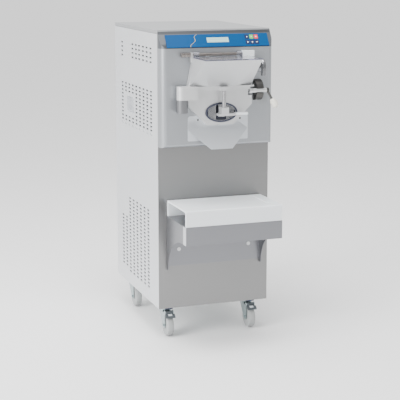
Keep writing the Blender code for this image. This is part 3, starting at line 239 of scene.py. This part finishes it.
def moulded(name, tone, rough=0.42, grain=1400.0, depth=0.00008, wear=0.06, **constants):
    """Moulded plastic or rubber: an even skin with a fine texture and a slight bloom."""
    skin = Finish(name, **constants)
    bloom, fine = skin.noise(9, 4), skin.noise(grain, 1)
    worn, fresh = tuple(c * (1 - wear) for c in tone), tuple(min(1, c * (1 + wear)) for c in tone)
    skin.set("Base Color", skin.mix(bloom, worn, fresh))
    skin.set("Roughness", rough - 0.05 + bloom * 0.10)
    skin.relief(fine, depth, 0.3)
    return skin.material


# ---------------------------------------------------------------- finishes

def painted_slope_shade(steel, colour):
    """Painted shade and reflection: the steel round the keypad is painted darker, as the sloped sheet reflects dark,
    with a painted shadow line along the top of it.
    """
    crease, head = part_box("control_panel")[0].z - 0.003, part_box("control_panel")[1].z
    on_slope = steel.z.above(crease, 0.002) * (1 - steel.y.above(FRONT - 0.0015, 0.001))
    line = steel.z.above(head + 0.002, 0.002)
    dark = steel.mix(line, linear(84, 88, 93), linear(40, 42, 46))
    return steel.mix(on_slope * 0.85, colour, dark)


def strip(steel, colour):
    """Painted highlight: the folded strip along the front edge of the bracket's cheeks is painted lighter, as the steel
    there takes more light.
    """
    painted_highlight = (1 - steel.y.above(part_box("shelf_bracket")[0].y + 0.034, 0.004)) * (steel.x.size().above(0.2205, 0.0005))
    return steel.mix(painted_highlight, colour, linear(214, 217, 220))


def film():
    """The keypad's printed film: blue with one fine gold wave."""
    sheet = Finish("keypad film", Specular_IOR_Level=0.15)
    low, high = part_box("control_panel")
    share = (sheet.z - low.z) / (high.z - low.z)
    wave = sheet.x - (low.x + 0.108) - share * 0.036 + (share * 9.5).sine() * 0.006
    gold = 1 - wave.size().above(0.0009, 0.0006)
    ink = sheet.mix(sheet.noise(8, 3), (0.0004, 0.050, 0.165), (0.0006, 0.060, 0.190))
    sheet.set("Base Color", sheet.mix(gold, ink, linear(196, 180, 120)))
    sheet.set("Roughness", 0.46 + sheet.noise(500, 2) * 0.10)
    return sheet.material


def screen():
    """A pale liquid-crystal window with two rows of unlit cells."""
    glass = Finish("display window", Coat_Weight=0.7, Coat_Roughness=0.05)
    low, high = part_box("display_window")
    column = ((glass.x - low.x) * (2 * math.pi / 0.0052)).sine().above(-0.55, 0.5)
    row = ((glass.z - low.z) * (2 * math.pi / 0.0098)).sine().above(-0.45, 0.5)
    edge = 1 - (glass.x - (low.x + high.x) / 2).size().above(0.043, 0.001)
    cells = column * row * edge
    glass.set("Base Color", glass.mix(cells * 0.35, linear(172, 208, 202), linear(122, 160, 168)))
    glass.set("Roughness", 0.22 + glass.noise(300, 2) * 0.08)
    return glass.material


def clear_plastic():
    sheet = Finish("clear lid", Transmission_Weight=0.92, IOR=1.46)
    haze = sheet.noise(30, 3)
    edge = (sheet.x.size().above(0.1235, 0.002) + (1 - sheet.y.above(-0.4545, 0.002))) * 0.8
    sheet.set("Base Color", sheet.mix(edge, linear(236, 238, 246), linear(104, 96, 158)))
    sheet.set("Roughness", 0.06 + haze * 0.06)
    return sheet.material


def wheel_tyre():
    """Grey rubber with a fine moulded band round the tread."""
    tyre = Finish("wheel tyre")
    dust, fine = tyre.noise(22, 4), tyre.noise(1200, 2)
    tyre.set("Base Color", tyre.mix(dust, linear(150, 153, 153), linear(176, 178, 178)))
    tyre.set("Roughness", 0.50 + dust * 0.16)
    tyre.relief(fine, 0.0001, 0.4)
    return tyre.material


# The side sheets' pale tone is painted light: it is paler because that side is lit.
PALE_LIT_SIDE, MID, SATIN = linear(210, 212, 215), linear(176, 178, 181), linear(208, 209, 210)
FINISHES = {
    "steel": brushed("brushed sheet", MID, UPRIGHT),
    "bright_steel": brushed("satin steel", SATIN, UPRIGHT, 0.38, 0.08, 0.62),
    "dark_steel": cast("dark turned steel", linear(84, 83, 82), 0.38),
    "motor_housing": cast("painted casting", linear(96, 100, 104), 0.55, 0.2),
    "condenser_fins": brushed("condenser fins", linear(180, 182, 184), UPRIGHT, 0.42),
    "electrics_box": cast("plated box", linear(170, 172, 172), 0.45, 0.7),
    "barrel": brushed("barrel steel", linear(205, 206, 208), DEEP, 0.28),
    "white_plastic": moulded("white plastic", linear(232, 236, 239), 0.40, wear=0.025, Subsurface_Weight=0.04),
    "dark_rubber": moulded("dark rubber", linear(40, 41, 44), 0.62),
    "grey_rubber": wheel_tyre(),
    "zinc": cast("zinc plate", linear(166, 180, 182), 0.32, 0.85),
    "blue_film": film(),
    "key_blue": moulded("blue key", linear(8, 28, 70), 0.36),
    "key_green": moulded("green key", linear(92, 176, 84), 0.36),
    "key_red": moulded("red key", linear(214, 58, 66), 0.36),
    "screen_glass": screen(),
    "clear_plastic": clear_plastic(),
}
# The sheets are all one stainless steel; their tones are set apart as painted light and shade: the side sheets painted
# pale as lit, the front sheet and bracket painted dark as shaded, the fascia, cover and chute between.
OWN_FINISH = {
    "left_side_panel": brushed("side sheet", PALE_LIT_SIDE, UPRIGHT, 0.40, 0.08, 0.45),
    "front_panel": brushed("front sheet", linear(138, 138, 138), ACROSS, 0.36, 0.12, 0.85),
    "fascia": brushed("pressed front", linear(163, 166, 170), ACROSS, 0.36, 0.08, 0.75, painted_slope_shade),
    "top_cover": brushed("cover sheet", linear(180, 182, 184), ACROSS, 0.34, 0.10, 0.7),
    "shelf_bracket": brushed("folded bracket", linear(132, 133, 137), ACROSS, 0.34, 0.10, 0.85, strip),
    "delivery_chute": brushed("chute sheet", linear(206, 210, 215), ACROSS, 0.34, 0.08, 0.6),
    "chassis_frame": moulded("frame paint", linear(198, 202, 203), 0.5),
    "latch_knob": moulded("off-white knob", linear(222, 219, 208), 0.34),
    # Painted shade: the grille plate is near black, standing for the shadowed hollow behind the bars.
    "outlet_grille": cast("grille painted shade", linear(58, 60, 68), 0.36),
    "outlet_ring": cast("ring steel", linear(84, 86, 100), 0.26),
    "tap_spout": cast("chrome", linear(150, 151, 154), 0.22, 1.0),
    "tap_flange": cast("chrome flange", linear(132, 134, 138), 0.24, 1.0),
    "lid_rod": cast("bronzed rod", linear(140, 134, 130), 0.26),
    "guide_rod": cast("guide rod steel", linear(182, 182, 184), 0.24),
    "hinge_post": cast("hinge steel", linear(132, 133, 136), 0.30),
}
OWN_FINISH["right_side_panel"] = OWN_FINISH["left_side_panel"]
for corner in ("front_left", "front_right"):
    OWN_FINISH["brake_pedal_" + corner] = moulded("pedal " + corner.replace("_", " "), linear(84, 90, 94), 0.45)
# Painted shade: a near-black sheet behind the vents, standing for the shade inside the cabinet.
PAINTED_SHADE_SHEET = moulded("painted shade sheet", linear(26, 27, 29), 0.85, 260.0, 0.0006)
SLOT_OF = {part["node"]: part["material_slot"] for part in frame["record"]["subparts"]}


def finish_of(node):
    return OWN_FINISH.get(node) or FINISHES[SLOT_OF[node]]


# ---------------------------------------------------------------- shaping tools

def place(name, mesh, body, slot, material=None):
    """Links a finished mesh, which already holds its place, and lets it ride."""
    made = shown(name, mesh)
    if material:
        made.data.materials.clear()
        made.data.materials.append(material)
    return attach(made, body)


def plain_mesh(source, name):
    """The evaluated shape of an object, as a mesh of its own; the object is removed."""
    bpy.context.view_layer.update()
    shaped = source.evaluated_get(bpy.context.evaluated_depsgraph_get())
    mesh = bpy.data.meshes.new_from_object(shaped)
    mesh.name = name
    bpy.data.objects.remove(source)
    return mesh


def merged(node):
    """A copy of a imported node's mesh, with its triangles joined and its flat faces whole."""
    shell = bmesh.new()
    shell.from_mesh(frame["nodes"][node].data)
    bmesh.ops.remove_doubles(shell, verts=shell.verts, dist=2e-5)
    bmesh.ops.dissolve_limit(shell, angle_limit=math.radians(0.6), verts=shell.verts, edges=shell.edges)
    mesh = bpy.data.meshes.new(node + "_shape")
    shell.to_mesh(mesh)
    shell.free()
    return mesh


def closed_mesh(shell, name):
    """A bmesh with its faces turned outward, as a mesh; the bmesh is freed."""
    bmesh.ops.recalc_face_normals(shell, faces=shell.faces)
    mesh = bpy.data.meshes.new(name)
    shell.to_mesh(mesh)
    shell.free()
    return mesh


EDGE, EDGE_STEPS, EDGE_SHARP, SMOOTH_UNDER = 0.0006, 2, math.radians(35), math.radians(28)


def eased(mesh, name, width):
    """Rounds the sharp edges, then shades curves smoothly and keeps large flat faces flat."""
    if width:
        body = shown(name, mesh)
        bevel = body.modifiers.new("edges", "BEVEL")
        bevel.width, bevel.segments, bevel.use_clamp_overlap = width, EDGE_STEPS, True
        bevel.limit_method, bevel.angle_limit = "ANGLE", EDGE_SHARP
        mesh = plain_mesh(body, name)
    for face in mesh.polygons:
        face.use_smooth = True
    mesh.set_sharp_from_angle(angle=SMOOTH_UNDER)
    body = shown(name, mesh)
    even = body.modifiers.new("even", "WEIGHTED_NORMAL")
    even.mode, even.weight, even.keep_sharp = "FACE_AREA", 90, True
    return plain_mesh(body, name)


def refine(node, width=EDGE, mesh=None):
    """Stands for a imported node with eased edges, in the node's own finish."""
    shape = eased(mesh or merged(node), node + "_finished", width)
    made = place(node + "_finished", shape, BODY_OF[node], SLOT_OF[node], finish_of(node))
    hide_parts(node)
    return made


class Tree:
    """A geometry node tree with named inputs, which ends in realised instances of one material."""

    def __init__(self, name, **sizes):
        self.tree = bpy.data.node_groups.new(name, "GeometryNodeTree")
        self.tree.interface.new_socket("Geometry", in_out="INPUT", socket_type="NodeSocketGeometry")
        self.tree.interface.new_socket("Geometry", in_out="OUTPUT", socket_type="NodeSocketGeometry")
        self.key = {}
        for size, value in sizes.items():
            kind = "NodeSocketInt" if isinstance(value, int) else "NodeSocketFloat"
            self.key[size] = self.tree.interface.new_socket(size, in_out="INPUT", socket_type=kind).identifier
        self.sizes = sizes
        self.entry, self.exit = self.tree.nodes.new("NodeGroupInput"), self.tree.nodes.new("NodeGroupOutput")

    def add(self, kind, settings=None, **inputs):
        made = self.tree.nodes.new(kind)
        for setting, value in (settings or {}).items():
            setattr(made, setting, value)
        for socket, value in inputs.items():
            socket = socket.replace("_", " ")
            if isinstance(value, bpy.types.NodeSocket):
                self.tree.links.new(value, made.inputs[socket])
            else:
                made.inputs[socket].default_value = value
        return made

    def size(self, name):
        return self.entry.outputs[name]

    def finish(self, shape, material):
        real = self.add("GeometryNodeRealizeInstances", Geometry=shape)
        done = self.add("GeometryNodeSetMaterial", Geometry=real.outputs[0], Material=material)
        self.tree.links.new(done.outputs[0], self.exit.inputs[0])

    def grown(self, points, name):
        """The tree's result on a cloud of points, as a plain mesh."""
        cloud = bpy.data.meshes.new(name + "_points")
        cloud.from_pydata([tuple(p) for p in points], [], [])
        seat = shown(name, cloud)
        grow = seat.modifiers.new("grow", "NODES")
        grow.node_group = self.tree
        for size, value in self.sizes.items():
            grow[self.key[size]] = value
        return plain_mesh(seat, name)


def boxes_at(name, points, size, turn, material):
    """A box of this size on every point, turned by these angles."""
    tree = Tree(name, Length=size[0], Width=size[1], Height=size[2])
    extent = tree.add("ShaderNodeCombineXYZ", X=tree.size("Length"), Y=tree.size("Width"), Z=tree.size("Height"))
    shape = tree.add("GeometryNodeMeshCube", Size=extent.outputs[0])
    copies = tree.add("GeometryNodeInstanceOnPoints", Points=tree.entry.outputs[0], Instance=shape.outputs[0],
                      Rotation=turn)
    tree.finish(copies.outputs[0], material)
    return tree.grown(points, name)


def discs_at(name, points, radius, height, turn, material, sides=20):
    """A short cylinder on every point, such as a screw head or a bolt."""
    tree = Tree(name, Radius=radius, Height=height, Sides=sides)
    shape = tree.add("GeometryNodeMeshCylinder", {"fill_type": "NGON"}, Vertices=tree.size("Sides"),
                     Radius=tree.size("Radius"), Depth=tree.size("Height"))
    copies = tree.add("GeometryNodeInstanceOnPoints", Points=tree.entry.outputs[0], Instance=shape.outputs[0],
                      Rotation=turn)
    tree.finish(copies.outputs[0], material)
    return tree.grown(points, name)


def cut(mesh, tool, name):
    """The first mesh less the second, which is made of separate closed shapes."""
    body, cutter = shown(name, mesh), shown(name + "_tool", tool)
    hole = body.modifiers.new("cut", "BOOLEAN")
    hole.operation, hole.solver, hole.object = "DIFFERENCE", "EXACT", cutter
    result = plain_mesh(body, name)
    bpy.data.objects.remove(cutter)
    return result


# ---------------------------------------------------------------- pressed vents in the side and rear sheets

VENT_LONG, VENT_TALL, SHEET = 0.029, 0.0090, 0.0015
TONGUE, TONGUE_LEAN, TONGUE_THICK = 0.0034, math.radians(38), 0.0008
SCREW_RADIUS, SCREW_HEAD = 0.0042, 0.0011
SIDE_SCREWS = ((0.624, 0.707), (0.047, 0.686), (0.548, 0.032), (0.092, 0.024))  # y, z from the front lower corner
REAR_VENT_LONG, REAR_VENT_TALL, REAR_PITCH, REAR_ROWS, REAR_FOOT = 0.104, 0.0088, 0.0205, 15, 0.325
REAR_COLUMNS = (-0.130, 0.0, 0.130)
# size, thickness, height and set-back of the black sheet of painted shade behind the rear louvres
REAR_SHADE_SHEET, REAR_SHADE_SHEET_THICK, REAR_SHADE_SHEET_Z, REAR_SHADE_SHEET_BACK = (0.372, 0.312), 0.002, 0.468, 0.0045
REAR_SCREW_X, REAR_SCREW_Z = 0.236, (0.20, 0.48, 0.76, 1.04, 1.33)
TOP_FIELD = ((0.101, 0.159, 0.215, 0.275, 0.325, 0.381, 0.553), [1.095 + 0.020 * i for i in range(4)])
MIDDLE_FIELD = ([0.098 + 0.0569 * i for i in range(9)], [0.776 + 0.0172 * i for i in range(12)])
LOWER_FIELD = ([0.153 + 0.0586 * i for i in range(8)], [0.065 + 0.017 * i for i in range(22)])


def vent_places():
    """(y, z) of every vent of a side panel, from the panel's front lower corner."""
    found = [(y, z) for y in TOP_FIELD[0] for z in TOP_FIELD[1]]
    found += [(y, z) for y in MIDDLE_FIELD[0] for z in MIDDLE_FIELD[1]
              if not (0.342 < y < 0.500 and 0.822 < z < 0.924)]
    found += [(y, z) for y in LOWER_FIELD[0] for z in LOWER_FIELD[1] if y < 0.48 or 0.068 < z < 0.325]
    return [(FRONT + y, SILL + z) for y, z in found]


def vented_side(node, side):
    """A side panel with its vents cut through, and a tongue pressed in behind each one."""
    face = LEFT if side < 0 else RIGHT
    points = [(face, y, z) for y, z in vent_places()]
    tool = boxes_at(node + "_slots", points, (0.008, VENT_LONG, VENT_TALL), (0, 0, 0), finish_of(node))
    refine(node, 0, mesh=cut(merged(node), tool, node + "_cut"))
    inner = [(face - side * (SHEET + 0.0006), y + 0.001, z - VENT_TALL * 0.36) for _, y, z in points]
    tongues = boxes_at(node + "_tongues", inner, (TONGUE_THICK, VENT_LONG - 0.002, TONGUE), (0, side * TONGUE_LEAN, 0),
                       finish_of(node))
    place(node + "_tongues", tongues, BODY_OF[node], SLOT_OF[node])
    screws = [(face - side * 0.0006, FRONT + y, SILL + z) for y, z in SIDE_SCREWS]
    heads = discs_at(node + "_screws", screws, SCREW_RADIUS, SCREW_HEAD, (0, math.pi / 2, 0), FINISHES["dark_steel"])
    place(node + "_screws", heads, BODY_OF[node], "dark_steel")


def vented_rear():
    """The rear sheet with a field of wide louvres for the condenser's air, a black sheet of painted shade behind them,
    and its screws.
    """
    low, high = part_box("rear_panel")
    y = (low.y + high.y) / 2
    points = [(x, y, REAR_FOOT + REAR_PITCH * row) for x in REAR_COLUMNS for row in range(REAR_ROWS)]
    slot = (REAR_VENT_LONG, 0.008, REAR_VENT_TALL)
    tool = boxes_at("rear_slots", points, slot, (0, 0, 0), finish_of("rear_panel"))
    refine("rear_panel", 0, mesh=cut(merged("rear_panel"), tool, "rear_panel_cut"))
    inner = [(x, low.y - 0.0006, z - 0.0032) for x, _, z in points]
    tongue = (REAR_VENT_LONG - 0.002, TONGUE_THICK, TONGUE)
    tongues = boxes_at("rear_tongues", inner, tongue, (TONGUE_LEAN, 0, 0), finish_of("rear_panel"))
    place("rear_panel_tongues", tongues, "cabinet", "steel")
    shade_sheet_size = (REAR_SHADE_SHEET[0], REAR_SHADE_SHEET_THICK, REAR_SHADE_SHEET[1])
    shade_sheet = boxes_at("rear_shade_sheet_box", [(0.0, low.y - REAR_SHADE_SHEET_BACK, REAR_SHADE_SHEET_Z)], shade_sheet_size, (0, 0, 0), PAINTED_SHADE_SHEET)
    place("rear_shade_sheet", shade_sheet, "cabinet", "dark_rubber")
    screws = [(side * REAR_SCREW_X, high.y + 0.0005, z) for side in (-1, 1) for z in REAR_SCREW_Z]
    heads = discs_at("rear_screws", screws, SCREW_RADIUS, SCREW_HEAD, (math.pi / 2, 0, 0), FINISHES["dark_steel"])
    place("rear_panel_screws", heads, "cabinet", "dark_steel")


# ---------------------------------------------------------------- outlet, keys, chute and other small parts

SHADE_SHEET_DEEP = (0.0040, 0.0060)  # from the panel's face to the front and the back of the painted shade sheet
SHADE_SHEETS = (  # y and z ranges between the frame's posts and rails, and round the finger grip
    ((-0.126, 0.385), (0.201, 0.578)), ((-0.126, 0.385), (1.229, 1.310)), ((-0.126, 0.148), (0.930, 1.124)),
    ((0.283, 0.385), (0.930, 1.124)), ((0.149, 0.282), (0.930, 0.973)), ((0.149, 0.282), (1.065, 1.124)))


def shade_sheets_behind_vents(name, side):
    """Thin black sheets of painted shade behind the vents of one side, standing for the shade inside the cabinet."""
    x = (LEFT if side < 0 else RIGHT) - side * sum(SHADE_SHEET_DEEP) / 2
    for number, (across, upright) in enumerate(SHADE_SHEETS, 1):
        middle = [(x, sum(across) / 2, sum(upright) / 2)]
        size = (SHADE_SHEET_DEEP[1] - SHADE_SHEET_DEEP[0], across[1] - across[0], upright[1] - upright[0])
        shade_sheet = boxes_at(f"{name}_{number}", middle, size, (0, 0, 0), PAINTED_SHADE_SHEET)
        place(f"{name}_{number}", shade_sheet, "cabinet", "dark_rubber")


def grille_bars():
    """Upright bars across the outlet, as long as the oval lets each one be, clear of the gate's slot."""
    low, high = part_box("outlet_grille")
    middle, half = (low + high) / 2, (high - low) / 2
    tree = Tree("grille bars", Bar=0.0016, Depth=0.0011, Across=half.x, Reach=half.z)
    position = tree.add("GeometryNodeInputPosition").outputs[0]
    across = tree.add("ShaderNodeSeparateXYZ", Vector=position).outputs[0]

    def maths(operation, first, second=0.0):
        made = tree.add("ShaderNodeMath", {"operation": operation})
        for socket, value in zip(made.inputs, (first, second)):
            if isinstance(value, bpy.types.NodeSocket):
                tree.tree.links.new(value, socket)
            else:
                socket.default_value = value
        return made.outputs[0]

    share = maths("DIVIDE", maths("SUBTRACT", across, middle.x), tree.size("Across"))
    length = maths("SQRT", maths("SUBTRACT", 1.0, maths("MULTIPLY", share, share)))
    tall = maths("MULTIPLY", tree.size("Reach"), 1.9)
    extent = tree.add("ShaderNodeCombineXYZ", X=tree.size("Bar"), Y=tree.size("Depth"), Z=tall)
    bar = tree.add("GeometryNodeMeshCube", Size=extent.outputs[0])
    scale = tree.add("ShaderNodeCombineXYZ", X=1.0, Y=1.0, Z=length)
    copies = tree.add("GeometryNodeInstanceOnPoints", Points=tree.entry.outputs[0], Instance=bar.outputs[0],
                      Scale=scale.outputs[0])
    tree.finish(copies.outputs[0], FINISHES["bright_steel"])
    points = [(middle.x + step * 0.0052, low.y - 0.0004, middle.z) for step in range(-11, 12) if abs(step) > 4]
    place("outlet_bars", tree.grown(points, "outlet_bars"), "door", "bright_steel")


def ring(name, centre, half, width, depth, material, body, slot, sides=72):
    """An oval band that lies across Y, with a rounded front."""
    shell = bmesh.new()
    profile = ((0, 0), (0, -0.7), (0.3, -1), (0.7, -1), (1, -0.7), (1, 0))
    rows = []
    for out, forward in profile:
        turn = [2 * math.pi * i / sides for i in range(sides)]
        rows.append([shell.verts.new((centre[0] + (half[0] + out * width) * math.cos(t), centre[1] + forward * depth,
                                      centre[2] + (half[1] + out * width) * math.sin(t))) for t in turn])
    for first, second in zip(rows, rows[1:] + rows[:1]):
        for i in range(sides):
            j = (i + 1) % sides
            shell.faces.new((first[i], first[j], second[j], second[i])).smooth = True
    place(name, closed_mesh(shell, name), body, slot, material)


def on_key(node, points):
    """Points given across and up a key's face, in its own half widths, as places on that face."""
    low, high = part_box(node)
    middle = (low + high) / 2
    out = Vector((0, -math.sin(SLOPE), math.cos(SLOPE)))
    up = Vector((0, math.cos(SLOPE), math.sin(SLOPE)))
    half_width, half_height = (high.x - low.x) / 2, (high.z - low.z) / 2 / math.sin(SLOPE)
    face = max(abs((Vector(v.co) - middle).dot(out)) for v in frame["nodes"][node].data.vertices)
    rise = half_height * 0.82
    return [middle + out * face + Vector((half_width * u, 0, 0)) + up * (rise * v) for u, v in points], out


def icon(node, outline):
    """A raised white mark on a key."""
    points, out = on_key(node, outline)
    shell = bmesh.new()
    base = [shell.verts.new(p - out * 0.0002) for p in points]
    top = [shell.verts.new(p + out * 0.00025) for p in points]
    shell.faces.new(base)
    shell.faces.new(top)
    for i in range(len(points)):
        j = (i + 1) % len(points)
        shell.faces.new((base[i], base[j], top[j], top[i]))
    mark = closed_mesh(shell, node + "_mark")
    place(node + "_mark", mark, BODY_OF[node], "white_plastic", FINISHES["white_plastic"])


def rounded(sides, radius, turn=0.0):
    return [(radius * math.cos(turn + 2 * math.pi * i / sides), radius * math.sin(turn + 2 * math.pi * i / sides))
            for i in range(sides)]


MARKS = {
    "key_up": rounded(3, 0.42, math.pi / 2),
    "key_start": rounded(3, 0.40, 0),
    "key_stop": rounded(4, 0.42, math.pi / 4),
    "key_cool": rounded(6, 0.36),
    "key_beat": rounded(14, 0.34),
    "key_menu": [(-0.38, -0.22), (0.38, -0.22), (0.38, 0.22), (-0.38, 0.22)],
}


def small_parts():
    grille_bars()
    low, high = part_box("outlet_ring")
    middle = (low + high) / 2
    ring("outlet_inner_ring", (middle.x, high.y, middle.z), (0.0655, 0.0345), 0.0022, 0.0016,
         FINISHES["bright_steel"], "door", "bright_steel")
    for node, outline in MARKS.items():
        icon(node, outline)
    plate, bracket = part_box("delivery_chute"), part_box("shelf_bracket")
    hooks = [(side * 0.098 + 0.004, plate[0].y + 0.0497, 0.9985) for side in (-1, 1)]
    pins = discs_at("chute_hook_pins", hooks, 0.0042, 0.0018, (math.pi / 2, 0, 0), FINISHES["dark_steel"])
    place("chute_hook_pins", pins, "cabinet", "dark_steel")
    bolts = [(side * 0.166, bracket[1].y - 0.0026, SILL + 0.270) for side in (-1, 1)]
    heads = discs_at("bracket_bolts", bolts, 0.0085, 0.0024, (math.pi / 2, 0, 0), FINISHES["bright_steel"])
    place("bracket_bolts", heads, "cabinet", "bright_steel")
    for corner in ("front_left", "front_right"):
        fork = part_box("caster_fork_" + corner)
        cap_at = [((fork[0].x + fork[1].x) / 2, fork[0].y + 0.013, fork[1].z - 0.0035)]
        cap = boxes_at("caster_cap_" + corner, cap_at, (0.034, 0.020, 0.005), (0, 0, 0), FINISHES["key_blue"])
        place("caster_cap_" + corner, cap, BODY_OF["caster_fork_" + corner], "key_blue")
        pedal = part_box("brake_pedal_" + corner)
        tilt = math.radians(38)
        spot = [((pedal[0].x + pedal[1].x) / 2, pedal[0].y + 0.0115, pedal[0].z + 0.0130)]
        label = boxes_at("pedal_label_" + corner, spot, (0.018, 0.010, 0.0012), (tilt, 0, 0),
                         FINISHES["white_plastic"])
        place("pedal_label_" + corner, label, BODY_OF["brake_pedal_" + corner], "white_plastic")


# ---------------------------------------------------------------- the machine

set_camera()
vented_side("left_side_panel", -1)
vented_side("right_side_panel", 1)
shade_sheets_behind_vents("left_shade_sheet", -1)
shade_sheets_behind_vents("right_shade_sheet", 1)
vented_rear()
AS_PACKED = {"control_panel", "display_window", *MARKS}
for node in sorted(frame["nodes"]):
    if node in AS_PACKED:
        for held in frame["nodes"][node].material_slots:
            held.material = finish_of(node)
    elif not node.endswith(("side_panel", "rear_panel")):
        refine(node)
small_parts()

FLOOR_REACH = 60
floor_mesh = bpy.data.meshes.new("floor")
floor_mesh.from_pydata([(x * FLOOR_REACH, y * FLOOR_REACH, 0) for x, y in ((-1, -1), (1, -1), (1, 1), (-1, 1))], [],
                       [(0, 1, 2, 3)])
floor = shown("floor", floor_mesh)
floor_finish = Finish("floor", Roughness=0.9)
floor_finish.set("Base Color", floor_finish.mix(floor_finish.noise(3, 3), (0.93, 0.93, 0.93), (0.95, 0.95, 0.95)))
floor_mesh.materials.append(floor_finish.material)

light_room()
area_light("left window", (-4.6, -2.0, 2.8), (0, 0, 0.8), (2.6, 3.2), 330)
area_light("overhead", (-0.6, -0.9, 4.6), (0, 0.1, 0.9), (2.2, 2.2), 210)
